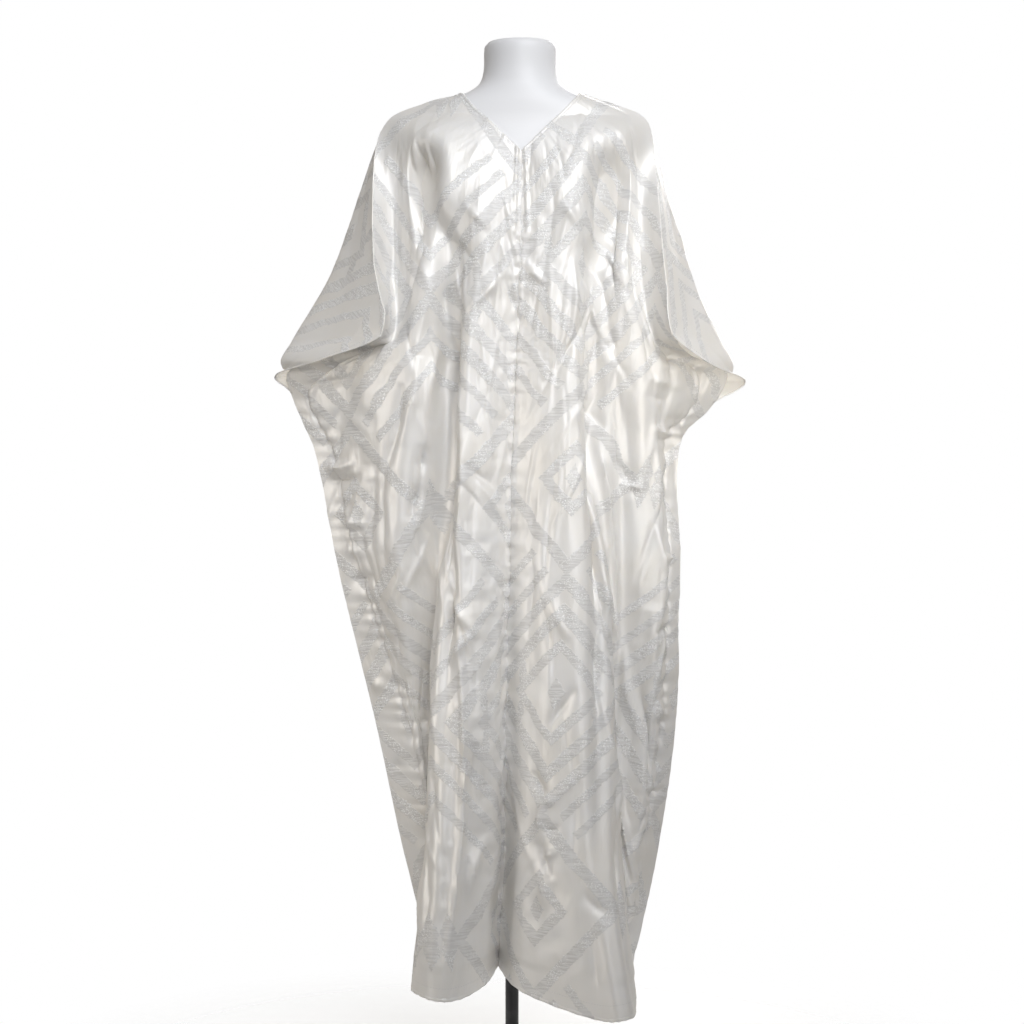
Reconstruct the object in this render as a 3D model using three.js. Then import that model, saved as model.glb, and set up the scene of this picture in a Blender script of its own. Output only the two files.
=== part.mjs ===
// A long V-neck kaftan of ivory brocade on a limbless dress form with a round foot.
//
// The kaftan is cut in three: two fronts joined by a centre seam, and one back. Each front meets the
// back along the shoulder and along the top fold of its wide sleeve, which hangs forward over the
// missing arm. Below the open cuff the two layers are stitched together some way inside their edges,
// so a double flange stands out all down each side.
//
// Millimetres, +Z up, the front faces -Y. The origin is on the floor, on the axis of the pole. The
// heights of the cloth and of the form are taken from a datum above the floor, and one group lifts them.
import * as THREE from "three";

// ---- driving sizes ----
const WALL = 1.6; // cloth thickness
const SEAM_GAP = 0.3; // between pieces that are sewn together
const FORM_CLEARANCE = 2; // cloth to dress form, at the cloth's own points
const DATUM = 60; // height above the floor that all heights of cloth and form are taken from
const NECK_X = 14; // the form leans this far to +X at its neck
const NECK_TOP = 1572; // top of the dress form
const POLE_RADIUS = 10.5;
const FOOT_RADIUS = 165;
const FOOT_HEIGHT = 6;
const COLLAR_RADIUS = 24;
const COLLAR_HEIGHT = 26;
const CHAMFER = 2; // on the foot's and the collar's edges
const FORM_SEGMENTS = 28; // points round the dress form
const ROW_STEP = 42; // largest height of a cell of cloth
const LEAST_ROWS = 2; // cells between two levels of the tables
const FLANGE_CELLS = 2; // cells across the side flange
const LONGEST_MITRE = 2.4; // a sharp turn of the cloth thickens its wall up to this many times

/** Turns a header line and rows of numbers into a list of records with named columns. */
function table(header, rows) {
  const names = header.trim().split(/\s+/);
  return rows.map((row) => Object.fromEntries(names.map((name, i) => [name, row[i]])));
}

// ---- the dress form ----
// One row for each section: height, half width, depth to the front and depth to the back.
const FORM_SECTIONS = table("z side front back", [
  [1572, 52, 49, 49],
  [1565, 57.5, 54, 54],
  [1530, 58.5, 55, 56],
  [1508, 65, 58, 60],
  [1495, 81, 61, 65],
  [1484, 107, 63, 69],
  [1472, 139, 65, 75],
  [1460, 168, 66, 80],
  [1448, 186, 67, 83],
  [1432, 194, 70, 86],
  [1400, 194, 80, 90],
  [1350, 182, 97, 93],
  [1295, 168, 110, 94],
  [1235, 152, 106, 91],
  [1160, 130, 90, 83],
  [1090, 119, 80, 79],
  [1010, 132, 84, 89],
  [920, 150, 88, 97],
  [850, 151, 86, 93],
  [800, 145, 82, 87],
  [782, 128, 70, 73],
  [775, 88, 48, 50],
]);

// ---- the cloth ----
// Sizes across are measured from the neck's centre line and outwards, depths along Y.
// The levels run down the garment: neckline, shoulder, sleeve, cuff, side and hem.
// height is that of the centre front, back_height that of the centre back.
const LEVELS = table("height seam_x seam_y back_height", [
  [1387, 0, -90, 1477], // neckline
  [1350, 0, -101, 1458], // middle of the shoulder
  [1314, 0, -113, 1425], // end of the shoulder
  [1268, 0, -119, 1350], // upper sleeve fold
  [1190, -2, -118, 1235], // middle of the sleeve fold
  [1099, -6, -111, 1104], // end of the sleeve fold
  [1068, -7, -109, 1070], // middle of the cuff
  [1040, -8, -107, 1040], // foot of the cuff
  [1005, -10, -105, 1008], // side stitching begins
  [928, -13, -101, 930], // waist
  [740, -18, -88, 740], // hip
  [500, -25, -70, 500], // knee
  [280, -28, -52, 280], // calf
  [121, -37, -34, 98], // hem
]);
// A front's lines run down it beside each other: the inner flank of the large front fold, its ridge
// and its outer flank, the valley beside it, the side fold, the stitching line and the free edge.
const FRONT_HEADER = `edge_z inner_x inner_y ridge_x ridge_y flank_x flank_y valley_x valley_y
  side_x side_y stitch_x stitch_y edge_x edge_y`;
const FRONT_RIGHT = table(FRONT_HEADER, [
  [1490, 8, -89, 20, -86, 40, -77, 56, -66, 71, -52, 86, -30, 101, -1],
  [1476, 14, -101, 35, -100, 66, -93, 92, -83, 116, -67, 137, -40, 153, -3],
  [1450, 22, -114, 52, -115, 92, -109, 124, -97, 156, -80, 184, -50, 207, -8],
  [1385, 28, -124, 64, -127, 104, -116, 140, -90, 168, -74, 196, -55, 228, -48],
  [1217, 28, -127, 58, -133, 82, -122, 99, -104, 150, -112, 197, -62, 226, -108],
  [1099, 32, -126, 64, -134, 92, -120, 108, -98, 168, -112, 200, -84, 214, -138],
  [1082, 32, -126, 65, -134, 94, -120, 110, -97, 176, -111, 240, -70, 290, -48],
  [1056, 33, -126, 66, -134, 96, -119, 112, -96, 182, -109, 298, -40, 362, -20],
  [1018, 34, -125, 66, -134, 97, -119, 114, -95, 185, -106, 336, -18, 363, -9],
  [928, 36, -122, 66, -134, 99, -118, 118, -91, 188, -101, 297, -18, 326, -5],
  [738, 40, -118, 78, -136, 124, -115, 133, -60, 192, -76, 252, -22, 288, -2],
  [500, 44, -118, 88, -142, 137, -111, 132, -22, 160, -30, 178, -18, 231, 10],
  [280, 50, -116, 105, -152, 146, -115, 138, -28, 132, -8, 135, -3, 184, 26],
  [104, 57, -110, 110, -165, 165, -118, 150, -40, 130, -8, 118, 12, 140, 45],
]);
const FRONT_LEFT = table(FRONT_HEADER, [
  [1490, 8, -89, 20, -86, 40, -77, 56, -66, 71, -52, 86, -30, 101, -1],
  [1476, 14, -101, 33, -100, 62, -93, 87, -83, 108, -67, 128, -40, 143, -3],
  [1450, 24, -114, 54, -115, 90, -109, 119, -97, 149, -80, 175, -50, 197, -8],
  [1375, 36, -124, 82, -125, 108, -110, 140, -82, 164, -66, 185, -54, 209, -48],
  [1200, 26, -127, 62, -132, 92, -121, 113, -99, 150, -107, 190, -72, 222, -112],
  [1101, 20, -126, 52, -133, 86, -121, 108, -97, 176, -104, 206, -80, 231, -135],
  [1074, 19, -125, 50, -133, 88, -120, 112, -95, 182, -103, 226, -66, 266, -54],
  [1052, 18, -125, 50, -133, 90, -119, 114, -93, 188, -99, 276, -44, 322, -32],
  [1002, 17, -124, 50, -133, 93, -119, 116, -92, 194, -88, 274, -26, 304, -14],
  [940, 14, -121, 50, -133, 98, -118, 122, -90, 204, -64, 228, -10, 252, 4],
  [740, 12, -116, 50, -136, 128, -118, 138, -62, 214, -52, 232, -16, 252, 4],
  [500, 12, -116, 62, -144, 138, -118, 142, -28, 204, -40, 222, -12, 246, 12],
  [280, 8, -118, 80, -160, 150, -132, 146, -30, 180, -22, 190, -6, 216, 24],
  [103, 3, -122, 118, -196, 168, -184, 158, -60, 150, -6, 152, 10, 177, 24],
]);
// Half the back runs from the free edge over the stitching line, round the bend of the sleeve or
// side and across the shoulder blade to the centre.
const BACK_HEADER = `edge_z edge_x edge_y stitch_x stitch_y bend_x bend_y blade_x blade_y
  middle_x middle_y centre_y`;
const BACK_RIGHT = table(BACK_HEADER, [
  [1490, 101, -1, 98, 10, 92, 26, 74, 46, 40, 66, 72],
  [1476, 153, -3, 150, 10, 142, 32, 112, 60, 60, 80, 84],
  [1450, 207, -8, 207, 8, 200, 32, 158, 72, 85, 93, 95],
  [1385, 226, -48, 232, -22, 233, 12, 195, 72, 108, 102, 101],
  [1217, 226, -108, 264, -58, 291, -4, 238, 68, 125, 107, 104],
  [1099, 214, -138, 292, -84, 359, -10, 282, 66, 140, 110, 106],
  [1064, 310, -92, 352, -56, 374, -10, 288, 66, 140, 111, 107],
  [1046, 386, -18, 376, 14, 340, 48, 264, 80, 138, 112, 108],
  [1018, 363, -9, 336, -18, 314, 32, 246, 82, 132, 113, 109],
  [928, 326, -5, 297, -18, 272, 30, 215, 86, 120, 115, 111],
  [738, 288, -2, 252, -22, 232, 34, 190, 92, 110, 121, 116],
  [500, 231, 10, 178, -18, 180, 42, 162, 100, 100, 132, 124],
  [280, 184, 26, 135, -3, 134, 54, 148, 114, 96, 147, 134],
  [104, 140, 45, 118, 12, 104, 62, 138, 130, 95, 163, 148],
]);
const BACK_LEFT = table(BACK_HEADER, [
  [1490, 101, -1, 98, 10, 92, 26, 74, 46, 40, 66, 72],
  [1476, 143, -3, 141, 10, 133, 32, 106, 60, 58, 80, 84],
  [1450, 197, -8, 197, 8, 191, 32, 152, 72, 83, 93, 95],
  [1375, 208, -48, 215, -22, 217, 14, 183, 72, 104, 102, 101],
  [1200, 222, -112, 248, -60, 266, -4, 220, 68, 120, 107, 104],
  [1101, 231, -135, 272, -80, 313, -10, 250, 66, 132, 110, 106],
  [1058, 292, -90, 316, -56, 330, -10, 258, 66, 134, 111, 107],
  [1036, 354, -14, 342, 18, 306, 48, 240, 80, 132, 112, 108],
  [1002, 304, -14, 274, -26, 262, 26, 215, 82, 126, 113, 109],
  [940, 252, 4, 228, -10, 226, 38, 190, 88, 118, 115, 111],
  [740, 252, 4, 232, -16, 222, 42, 184, 94, 110, 121, 116],
  [500, 246, 12, 222, -12, 212, 46, 172, 102, 102, 134, 124],
  [280, 216, 24, 190, -6, 182, 60, 160, 118, 96, 148, 134],
  [103, 177, 24, 152, 10, 150, 72, 150, 132, 94, 162, 148],
]);
// The lines of a front and of half a back. rise is how far up a row each line lies, from the seam or
// centre (0) to the free edge (1), hem_right and hem_left are its heights at the hem, and cells are
// the cells of the wall from each line to the next.
const FRONT_LINES = table("name rise cells hem_right hem_left", [
  ["seam", 0, 2, 121, 121],
  ["inner", 0.08, 2, 104, 96],
  ["ridge", 0.2, 3, 91, 70],
  ["flank", 0.4, 3, 101, 78],
  ["valley", 0.56, 3, 108, 98],
  ["side", 0.7, 4, 106, 104],
  ["stitch", 0.85, FLANGE_CELLS, 104, 103],
  ["edge", 1, 0, 104, 103],
]);
const BACK_LINES = table("name rise cells", [
  ["edge", 1, FLANGE_CELLS],
  ["stitch", 0.97, 2],
  ["bend", 0.9, 4],
  ["blade", 0.66, 4],
  ["middle", 0.3, 2],
  ["centre", 0, 0],
]);
const FOLD_END = 5; // level where the sleeve's top fold ends
const STITCHED = 8; // level from which the side is stitched
// The back hangs in soft folds from the shoulder blades: place across the half, depth at the hem, width.
const BACK_FOLDS = table("across depth width", [
  [0.34, 17, 0.07],
  [0.5, -15, 0.07],
  [0.64, 19, 0.07],
  [0.79, -16, 0.06],
  [0.92, 14, 0.06],
]);
const BACK_FOLDS_TOP = 1330; // the folds start here and deepen to the hem

// ---- curves ----
/** A smooth value through knots (at, value), as a cubic with the slope of its neighbours at each knot. */
function smooth(at, values, where) {
  let i = 0;
  while (i < at.length - 2 && where > at[i + 1]) i++;
  const slope = (k) => {
    const a = Math.max(k - 1, 0);
    const b = Math.min(k + 1, at.length - 1);
    return (values[b] - values[a]) / (at[b] - at[a]);
  };
  const span = at[i + 1] - at[i];
  const t = Math.min(Math.max((where - at[i]) / span, 0), 1);
  const h = t * t * (3 - 2 * t);
  return (
    values[i] * (1 - h) +
    values[i + 1] * h +
    span * (t * (1 - t) * (1 - t) * slope(i) - t * t * (1 - t) * slope(i + 1))
  );
}

// ---- the dress form's surface ----
const formHeights = FORM_SECTIONS.map((s) => -s.z);
const formSize = (z, key) => smooth(formHeights, FORM_SECTIONS.map((s) => s[key]), -z);
const formX = (z) => (NECK_X * z) / NECK_TOP;

/** How far a point is outside the form's section at its height, as a share of the section. */
function outsideForm(p) {
  const depth = formSize(p.z, p.y < 0 ? "front" : "back");
  return Math.hypot((p.x - formX(p.z)) / formSize(p.z, "side"), p.y / depth) - 1;
}

/** Moves a point of the cloth out of the form, along the form's own normal, until it is clear. */
function clearOfForm(p) {
  const floor = FORM_SECTIONS.at(-1).z;
  for (let pass = 0; pass < 6 && p.z > floor && p.z < NECK_TOP; pass++) {
    const here = outsideForm(p);
    const slope = new THREE.Vector3(
      outsideForm(p.clone().setX(p.x + 1)) - here,
      outsideForm(p.clone().setY(p.y + 1)) - here,
      outsideForm(p.clone().setZ(p.z + 1)) - here,
    );
    const short = FORM_CLEARANCE - here / slope.length();
    if (short <= 0) break;
    p.addScaledVector(slope.normalize(), short);
  }
  return p;
}

// ---- rows of cloth ----
// A row is named by its place down the garment, which is 0 at the neckline and grows level by level
// with the drop of the centre front. Rows lie on every level that a seam starts or ends at.
const levelPlace = LEVELS.map((level) => LEVELS[0].height - level.height);

function rowPlaces() {
  const places = [0];
  levelPlace.slice(1).forEach((place, i) => {
    const span = place - levelPlace[i];
    const cells = Math.max(LEAST_ROWS, Math.ceil(span / ROW_STEP));
    for (let c = 1; c <= cells; c++) places.push(levelPlace[i] + (span * c) / cells);
  });
  return places;
}
const PLACES = rowPlaces();
const foldEndPlace = levelPlace[FOLD_END];
const stitchedPlace = levelPlace[STITCHED];
const column = (rows, key) => rows.map((row) => row[key]);
const at = (rows, key, place) => smooth(levelPlace, column(rows, key), place);

/** The corner at the stitching line: smooth over the sleeve, sharp where the side is stitched. */
function stitchCorner(place) {
  const t = (place - foldEndPlace) / (stitchedPlace - foldEndPlace);
  return 1 - Math.min(Math.max(t, 0), 1);
}

/** The points of a row: a spline through its knots, with each line's number of cells after it. It runs
 * smoothly through all but the stitching line, which is a sharp corner where the side is stitched. */
function spline(knots, lines, place) {
  const tangent = (k) => {
    const a = knots[Math.max(k - 1, 0)];
    const b = knots[Math.min(k + 1, knots.length - 1)];
    const smoothness = lines[k]?.name === "stitch" ? stitchCorner(place) : 1;
    return b.clone().sub(a).multiplyScalar(0.5 * smoothness);
  };
  const points = [knots[0].clone()];
  lines.slice(0, -1).forEach(({ cells }, k) => {
    const [p, q, m, n] = [knots[k], knots[k + 1], tangent(k), tangent(k + 1)];
    for (let s = 1; s <= cells; s++) {
      const t = s / cells;
      const point = p.clone().lerp(q, t * t * (3 - 2 * t));
      point.addScaledVector(m, t * (1 - t) * (1 - t));
      points.push(point.addScaledVector(n, -t * t * (1 - t)));
    }
  });
  return points;
}

/** One row of a front, from the centre seam (first) to the free edge (last). side is -1 or 1. */
function frontRow(rows, hem, side, place) {
  const low = at(LEVELS, "height", place);
  const high = at(rows, "edge_z", place);
  const [hemLow, hemHigh] = [LEVELS.at(-1).height, rows.at(-1).edge_z];
  const toHem = Math.max(0, (place - levelPlace.at(-2)) / (levelPlace.at(-1) - levelPlace.at(-2)));
  const knots = FRONT_LINES.map((line) => {
    const seam = line.name === "seam";
    const x = seam ? side * at(LEVELS, "seam_x", place) : at(rows, line.name + "_x", place);
    const y = seam ? at(LEVELS, "seam_y", place) : at(rows, line.name + "_y", place);
    const drop = line[hem] - (hemLow + (hemHigh - hemLow) * line.rise);
    const z = low + (high - low) * line.rise + drop * toHem * toHem;
    return new THREE.Vector3(NECK_X + side * x, y, z);
  });
  return spline(knots, FRONT_LINES, place);
}

/** Half a row of the back, from the free edge (first) to the centre (last), sewn to its front's row. */
function backHalfRow(rows, side, place, front) {
  const low = at(LEVELS, "back_height", place);
  const high = at(rows, "edge_z", place);
  const knots = BACK_LINES.map((line) => {
    const x = line.name === "centre" ? 0 : at(rows, line.name + "_x", place);
    const z = low + (high - low) * line.rise;
    return new THREE.Vector3(NECK_X + side * x, at(rows, line.name + "_y", place), z);
  });
  if (place <= foldEndPlace || place >= stitchedPlace) knots[0].copy(front.at(-1));
  if (place >= stitchedPlace) knots[1].copy(front.at(-1 - FLANGE_CELLS));
  const mirrored = knots.at(-2).clone();
  mirrored.x = 2 * NECK_X - mirrored.x;
  const points = spline([...knots, mirrored], BACK_LINES, place);
  const hemHeight = LEVELS.at(-1).back_height;
  const drop = Math.min(1, Math.max(0, (BACK_FOLDS_TOP - low) / (BACK_FOLDS_TOP - hemHeight)));
  points.forEach((point, i) => {
    const share = Math.max(0, (i - FLANGE_CELLS) / (points.length - 1 - FLANGE_CELLS));
    const push = BACK_FOLDS.reduce(
      (sum, fold) => sum + fold.depth * Math.exp(-(((share - fold.across) / fold.width) ** 2)),
      0,
    );
    const out = new THREE.Vector3((point.x - NECK_X) * 0.6, Math.max(point.y, 20), 0).normalize();
    point.addScaledVector(out, push * drop ** 0.7 * Math.min(1, share / 0.2));
  });
  if (place >= stitchedPlace) {
    for (let c = 0; c <= FLANGE_CELLS; c++) points[c].copy(front.at(-1 - c));
  }
  return points;
}

// ---- grids and walls ----
/** Which way a grid's points move to thicken the cloth: the mean of the normals on the two sides of
 * each point, lengthened where the row turns. outward is 1 or -1 and turns them to the outside. */
function gridNormals(grid, outward) {
  return grid.map((row, i) => {
    const [above, below] = [grid[Math.max(i - 1, 0)], grid[Math.min(i + 1, grid.length - 1)]];
    const cell = (j) => {
      const across = row[j + 1].clone().sub(row[j]);
      const down = below[j].clone().add(below[j + 1]).sub(above[j]).sub(above[j + 1]);
      return across.cross(down).normalize().multiplyScalar(outward);
    };
    return row.map((_, j) => {
      const before = cell(Math.max(j - 1, 0));
      const after = cell(Math.min(j, row.length - 2));
      const mitre = Math.min(LONGEST_MITRE, Math.sqrt(2 / Math.max(1 + before.dot(after), 1e-6)));
      return before.add(after).normalize().multiplyScalar(mitre);
    });
  });
}

/** A closed wall between a grid and the same grid moved along its normals by the cloth's thickness.
 * The first turnedCells columns of cells are cut along their other diagonal, to lie on a front's. */
function wall(grid, normals, turnedCells) {
  const [rows, columns] = [grid.length, grid[0].length];
  const position = [];
  const index = [];
  for (const outer of [0, 1]) {
    grid.forEach((row, i) =>
      row.forEach((p, j) => {
        position.push(...p.clone().addScaledVector(normals[i][j], outer * WALL).toArray());
      }),
    );
  }
  const id = (layer, i, j) => layer * rows * columns + i * columns + j;
  const quad = (a, b, c, d) => index.push(a, b, c, a, c, d);
  for (let i = 0; i < rows - 1; i++) {
    for (let j = 0; j < columns - 1; j++) {
      const ring = [[i, j], [i, j + 1], [i + 1, j + 1], [i + 1, j]];
      if (j < turnedCells) ring.push(ring.shift());
      const [a, b, c, d] = ring;
      quad(...[a, b, c, d].map(([r, s]) => id(1, r, s)));
      quad(...[a, d, c, b].map(([r, s]) => id(0, r, s)));
    }
  }
  const rim = [];
  for (let j = 0; j < columns - 1; j++) rim.push([0, j, 0, j + 1]);
  for (let i = 0; i < rows - 1; i++) rim.push([i, columns - 1, i + 1, columns - 1]);
  for (let j = columns - 1; j > 0; j--) rim.push([rows - 1, j, rows - 1, j - 1]);
  for (let i = rows - 1; i > 0; i--) rim.push([i, 0, i - 1, 0]);
  for (const [i, j, k, l] of rim) quad(id(0, i, j), id(0, k, l), id(1, k, l), id(1, i, j));
  return closed(position, index);
}

/** A geometry from points and triangles, turned so that its faces point out. */
function closed(position, index) {
  const corner = (k) => new THREE.Vector3().fromArray(position, index[k] * 3);
  let volume = 0;
  for (let k = 0; k < index.length; k += 3) volume += corner(k).dot(corner(k + 1).cross(corner(k + 2)));
  if (volume < 0) {
    for (let k = 0; k < index.length; k += 3) [index[k + 1], index[k + 2]] = [index[k + 2], index[k + 1]];
  }
  const geometry = new THREE.BufferGeometry();
  geometry.setAttribute("position", new THREE.Float32BufferAttribute(position, 3));
  geometry.setIndex(index);
  geometry.computeVertexNormals();
  return geometry;
}

/** The three pieces of the kaftan as grids of their inner faces. */
function clothGrids() {
  const right = PLACES.map((place) => frontRow(FRONT_RIGHT, "hem_right", -1, place));
  const left = PLACES.map((place) => frontRow(FRONT_LEFT, "hem_left", 1, place));
  const back = PLACES.map((place, i) => {
    const half = backHalfRow(BACK_LEFT, 1, place, left[i]);
    return backHalfRow(BACK_RIGHT, -1, place, right[i]).concat(half.reverse().slice(1));
  });
  for (const grid of [right, left, back]) grid.forEach((row) => row.forEach(clearOfForm));
  return { right, left, back };
}

/** Parts two edge points that are sewn together, across the line between their own pieces. */
function part(a, insideA, b, insideB) {
  const way = insideA.clone().sub(a).normalize().sub(insideB.clone().sub(b).normalize()).normalize();
  const middle = a.clone().add(b).multiplyScalar(0.5);
  a.copy(middle).addScaledVector(way, SEAM_GAP / 2);
  b.copy(middle).addScaledVector(way, -SEAM_GAP / 2);
}

/** Gives two edge points one normal, so that their walls meet face to face. */
function share(normalA, normalB) {
  normalA.add(normalB).normalize();
  normalB.copy(normalA);
}

/** Sews the back's edge to a front's, row by row: face to face along the shoulder and the sleeve's
 * top fold, free at the cuff, and layer on layer in the flange. edge and step find the back's edge. */
function sew(front, frontNormals, back, backNormals, edge, step) {
  PLACES.forEach((place, i) => {
    const last = front[i].length - 1;
    if (place <= foldEndPlace) {
      part(front[i][last], front[i][last - 1], back[i][edge], back[i][edge + step]);
      share(frontNormals[i][last], backNormals[i][edge]);
    } else if (place >= stitchedPlace) {
      for (let c = 0; c <= FLANGE_CELLS; c++) {
        front[i][last - c].y -= SEAM_GAP;
        back[i][edge + step * c].y += SEAM_GAP;
      }
    }
  });
}

/** The two fronts and the back, each a named wall. */
function kaftan(cloth) {
  const { right, left, back } = clothGrids();
  const rightNormals = gridNormals(right, 1);
  const leftNormals = gridNormals(left, -1);
  const backNormals = gridNormals(back, 1);
  PLACES.forEach((_, i) => {
    part(left[i][0], left[i][1], right[i][0], right[i][1]);
    share(leftNormals[i][0], rightNormals[i][0]);
  });
  sew(right, rightNormals, back, backNormals, 0, 1);
  sew(left, leftNormals, back, backNormals, back[0].length - 1, -1);
  const piece = (name, grid, normals, turnedCells) => {
    const mesh = new THREE.Mesh(wall(grid, normals, turnedCells), cloth);
    mesh.name = name;
    return mesh;
  };
  return [
    piece("front_right", right, rightNormals, 0),
    piece("front_left", left, leftNormals, 0),
    piece("back", back, backNormals, (back[0].length - 1) / 2),
  ];
}

// ---- the dress form's solids ----
/** Neck, shoulders and torso in one: a ring of points for each section, closed above and below. */
function formBody(material) {
  const position = [];
  const index = [];
  for (const { z, side, front, back } of FORM_SECTIONS) {
    for (let a = 0; a < FORM_SEGMENTS; a++) {
      const angle = (2 * Math.PI * a) / FORM_SEGMENTS;
      const depth = Math.sin(angle) < 0 ? front : back;
      position.push(formX(z) + side * Math.cos(angle), depth * Math.sin(angle), z);
    }
  }
  const last = FORM_SECTIONS.length - 1;
  const crown = FORM_SECTIONS.length * FORM_SEGMENTS;
  for (const { z } of [FORM_SECTIONS[0], FORM_SECTIONS[last]]) position.push(formX(z), 0, z);
  for (let a = 0; a < FORM_SEGMENTS; a++) {
    const b = (a + 1) % FORM_SEGMENTS;
    index.push(crown, a, b, crown + 1, last * FORM_SEGMENTS + b, last * FORM_SEGMENTS + a);
    for (let ring = 0; ring < last; ring++) {
      const [p, q] = [ring * FORM_SEGMENTS, (ring + 1) * FORM_SEGMENTS];
      index.push(p + a, q + a, q + b, p + a, q + b, p + b);
    }
  }
  const mesh = new THREE.Mesh(closed(position, index), material);
  mesh.name = "form_body";
  return mesh;
}

/** A turned piece: a closed profile of [radius, height] pairs round the pole's axis. */
function turned(name, profile, material, segments) {
  const geometry = new THREE.LatheGeometry(profile.map(([r, z]) => new THREE.Vector2(r, z)), segments);
  geometry.rotateX(Math.PI / 2);
  const mesh = new THREE.Mesh(geometry, material);
  mesh.name = name;
  return mesh;
}

/** The round foot, the pole and the collar that joins them. */
function stand(metal) {
  const poleFoot = FOOT_HEIGHT + SEAM_GAP;
  const underForm = DATUM + FORM_SECTIONS.at(-1).z - SEAM_GAP;
  const bore = POLE_RADIUS + SEAM_GAP;
  const collarTop = poleFoot + COLLAR_HEIGHT;
  const foot = [
    [0, 0],
    [FOOT_RADIUS, 0],
    [FOOT_RADIUS, FOOT_HEIGHT - CHAMFER],
    [FOOT_RADIUS - 2 * CHAMFER, FOOT_HEIGHT],
    [0, FOOT_HEIGHT],
  ];
  const pole = [
    [0, poleFoot],
    [POLE_RADIUS, poleFoot],
    [POLE_RADIUS, underForm],
    [0, underForm],
  ];
  const collar = [
    [bore, poleFoot],
    [COLLAR_RADIUS, poleFoot],
    [COLLAR_RADIUS, collarTop - CHAMFER],
    [COLLAR_RADIUS - CHAMFER, collarTop],
    [bore, collarTop],
    [bore, poleFoot],
  ];
  return [
    turned("stand_foot", foot, metal, 40),
    turned("stand_pole", pole, metal, 24),
    turned("stand_collar", collar, metal, 24),
  ];
}

const cloth = new THREE.MeshStandardMaterial({ color: 0xe4e1dc, roughness: 0.42, metalness: 0.1 });
const shell = new THREE.MeshStandardMaterial({ color: 0xe9e9ec, roughness: 0.35, metalness: 0 });
const metal = new THREE.MeshStandardMaterial({ color: 0x6f7174, roughness: 0.35, metalness: 0.9 });

const raised = new THREE.Group();
raised.position.z = DATUM;
raised.add(...kaftan(cloth), formBody(shell));

const object = new THREE.Group();
object.add(raised, ...stand(metal));

export default object;
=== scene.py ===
"""A long V-neck kaftan of ivory brocade on a white dress form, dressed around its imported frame.

The cloth is worked out as surfaces of two parameters: a place down the garment and a line across
it. Creases, puckers and crumples move the surface along its own normals, and the weave is drawn by
shader maths on the flat cut's own coordinates.
"""

import math

import bpy
import numpy as np
from bpy.props import FloatProperty, FloatVectorProperty, IntProperty, PointerProperty
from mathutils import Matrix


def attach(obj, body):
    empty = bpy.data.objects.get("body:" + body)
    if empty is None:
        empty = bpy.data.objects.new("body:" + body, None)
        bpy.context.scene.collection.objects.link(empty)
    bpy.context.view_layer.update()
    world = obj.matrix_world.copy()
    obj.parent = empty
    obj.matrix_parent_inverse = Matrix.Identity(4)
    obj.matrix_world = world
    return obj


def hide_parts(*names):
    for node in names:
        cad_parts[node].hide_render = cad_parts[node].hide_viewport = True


bl_info = {
    "name": "Brocade Kaftan",
    "version": (1, 0, 0),
    "blender": (4, 5, 0),
    "location": "View3D > Sidebar > Kaftan",
    "description": "Dresses a form in a V-neck brocade kaftan with its seams, hems and stitches",
    "category": "Object",
}

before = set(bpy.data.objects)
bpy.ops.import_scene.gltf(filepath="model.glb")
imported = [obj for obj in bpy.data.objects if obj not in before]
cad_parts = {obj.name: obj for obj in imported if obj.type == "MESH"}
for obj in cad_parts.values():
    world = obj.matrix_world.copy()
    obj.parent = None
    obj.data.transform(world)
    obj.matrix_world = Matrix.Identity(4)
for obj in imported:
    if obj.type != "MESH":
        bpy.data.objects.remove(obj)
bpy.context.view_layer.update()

MM = 0.001
DATUM = 60  # height above the floor that the tables' heights are taken from
NECK_X = 14  # the form leans this far to +X at its neck
NECK_TOP = 1572

# ---- the garment's lines, in millimetres from the neck's centre line ----
LEVELS = """height seam_x seam_y back_height
1387 0 -90 1477
1350 0 -101 1458
1314 0 -113 1425
1268 0 -119 1350
1190 -2 -118 1235
1099 -6 -111 1104
1068 -7 -109 1070
1040 -8 -107 1040
1005 -10 -105 1008
928 -13 -101 930
740 -18 -88 740
500 -25 -70 500
280 -28 -52 280
121 -37 -34 98"""
FRONT_LINES = ("seam", "inner", "ridge", "flank", "valley", "side", "stitch", "edge")
FRONT_RISE = (0, 0.08, 0.2, 0.4, 0.56, 0.7, 0.85, 1)
FRONT_HEADER = "edge_z " + " ".join(f"{line}_x {line}_y" for line in FRONT_LINES[1:])
FRONT_RIGHT = """
1490 8 -89 20 -86 40 -77 56 -66 71 -52 86 -30 101 -1
1476 14 -101 35 -100 66 -93 92 -83 116 -67 137 -40 153 -3
1450 22 -114 52 -115 92 -109 124 -97 156 -80 184 -50 207 -8
1385 28 -124 64 -127 104 -116 140 -90 168 -74 196 -55 228 -48
1217 28 -127 58 -133 82 -122 99 -104 150 -112 197 -62 226 -108
1099 32 -126 64 -134 92 -120 108 -98 168 -112 200 -84 214 -138
1082 32 -126 65 -134 94 -120 110 -97 176 -111 240 -70 290 -48
1056 33 -126 66 -134 96 -119 112 -96 182 -109 298 -40 362 -20
1018 34 -125 66 -134 97 -119 114 -95 185 -106 336 -18 363 -9
928 36 -122 66 -134 99 -118 118 -91 188 -101 297 -18 326 -5
738 40 -118 78 -136 124 -115 133 -60 192 -76 252 -22 288 -2
500 44 -118 88 -142 137 -111 132 -22 160 -30 178 -18 231 10
280 50 -116 105 -152 146 -115 138 -28 132 -8 135 -3 184 26
104 57 -110 110 -165 165 -118 150 -40 130 -8 118 12 140 45"""
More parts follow.
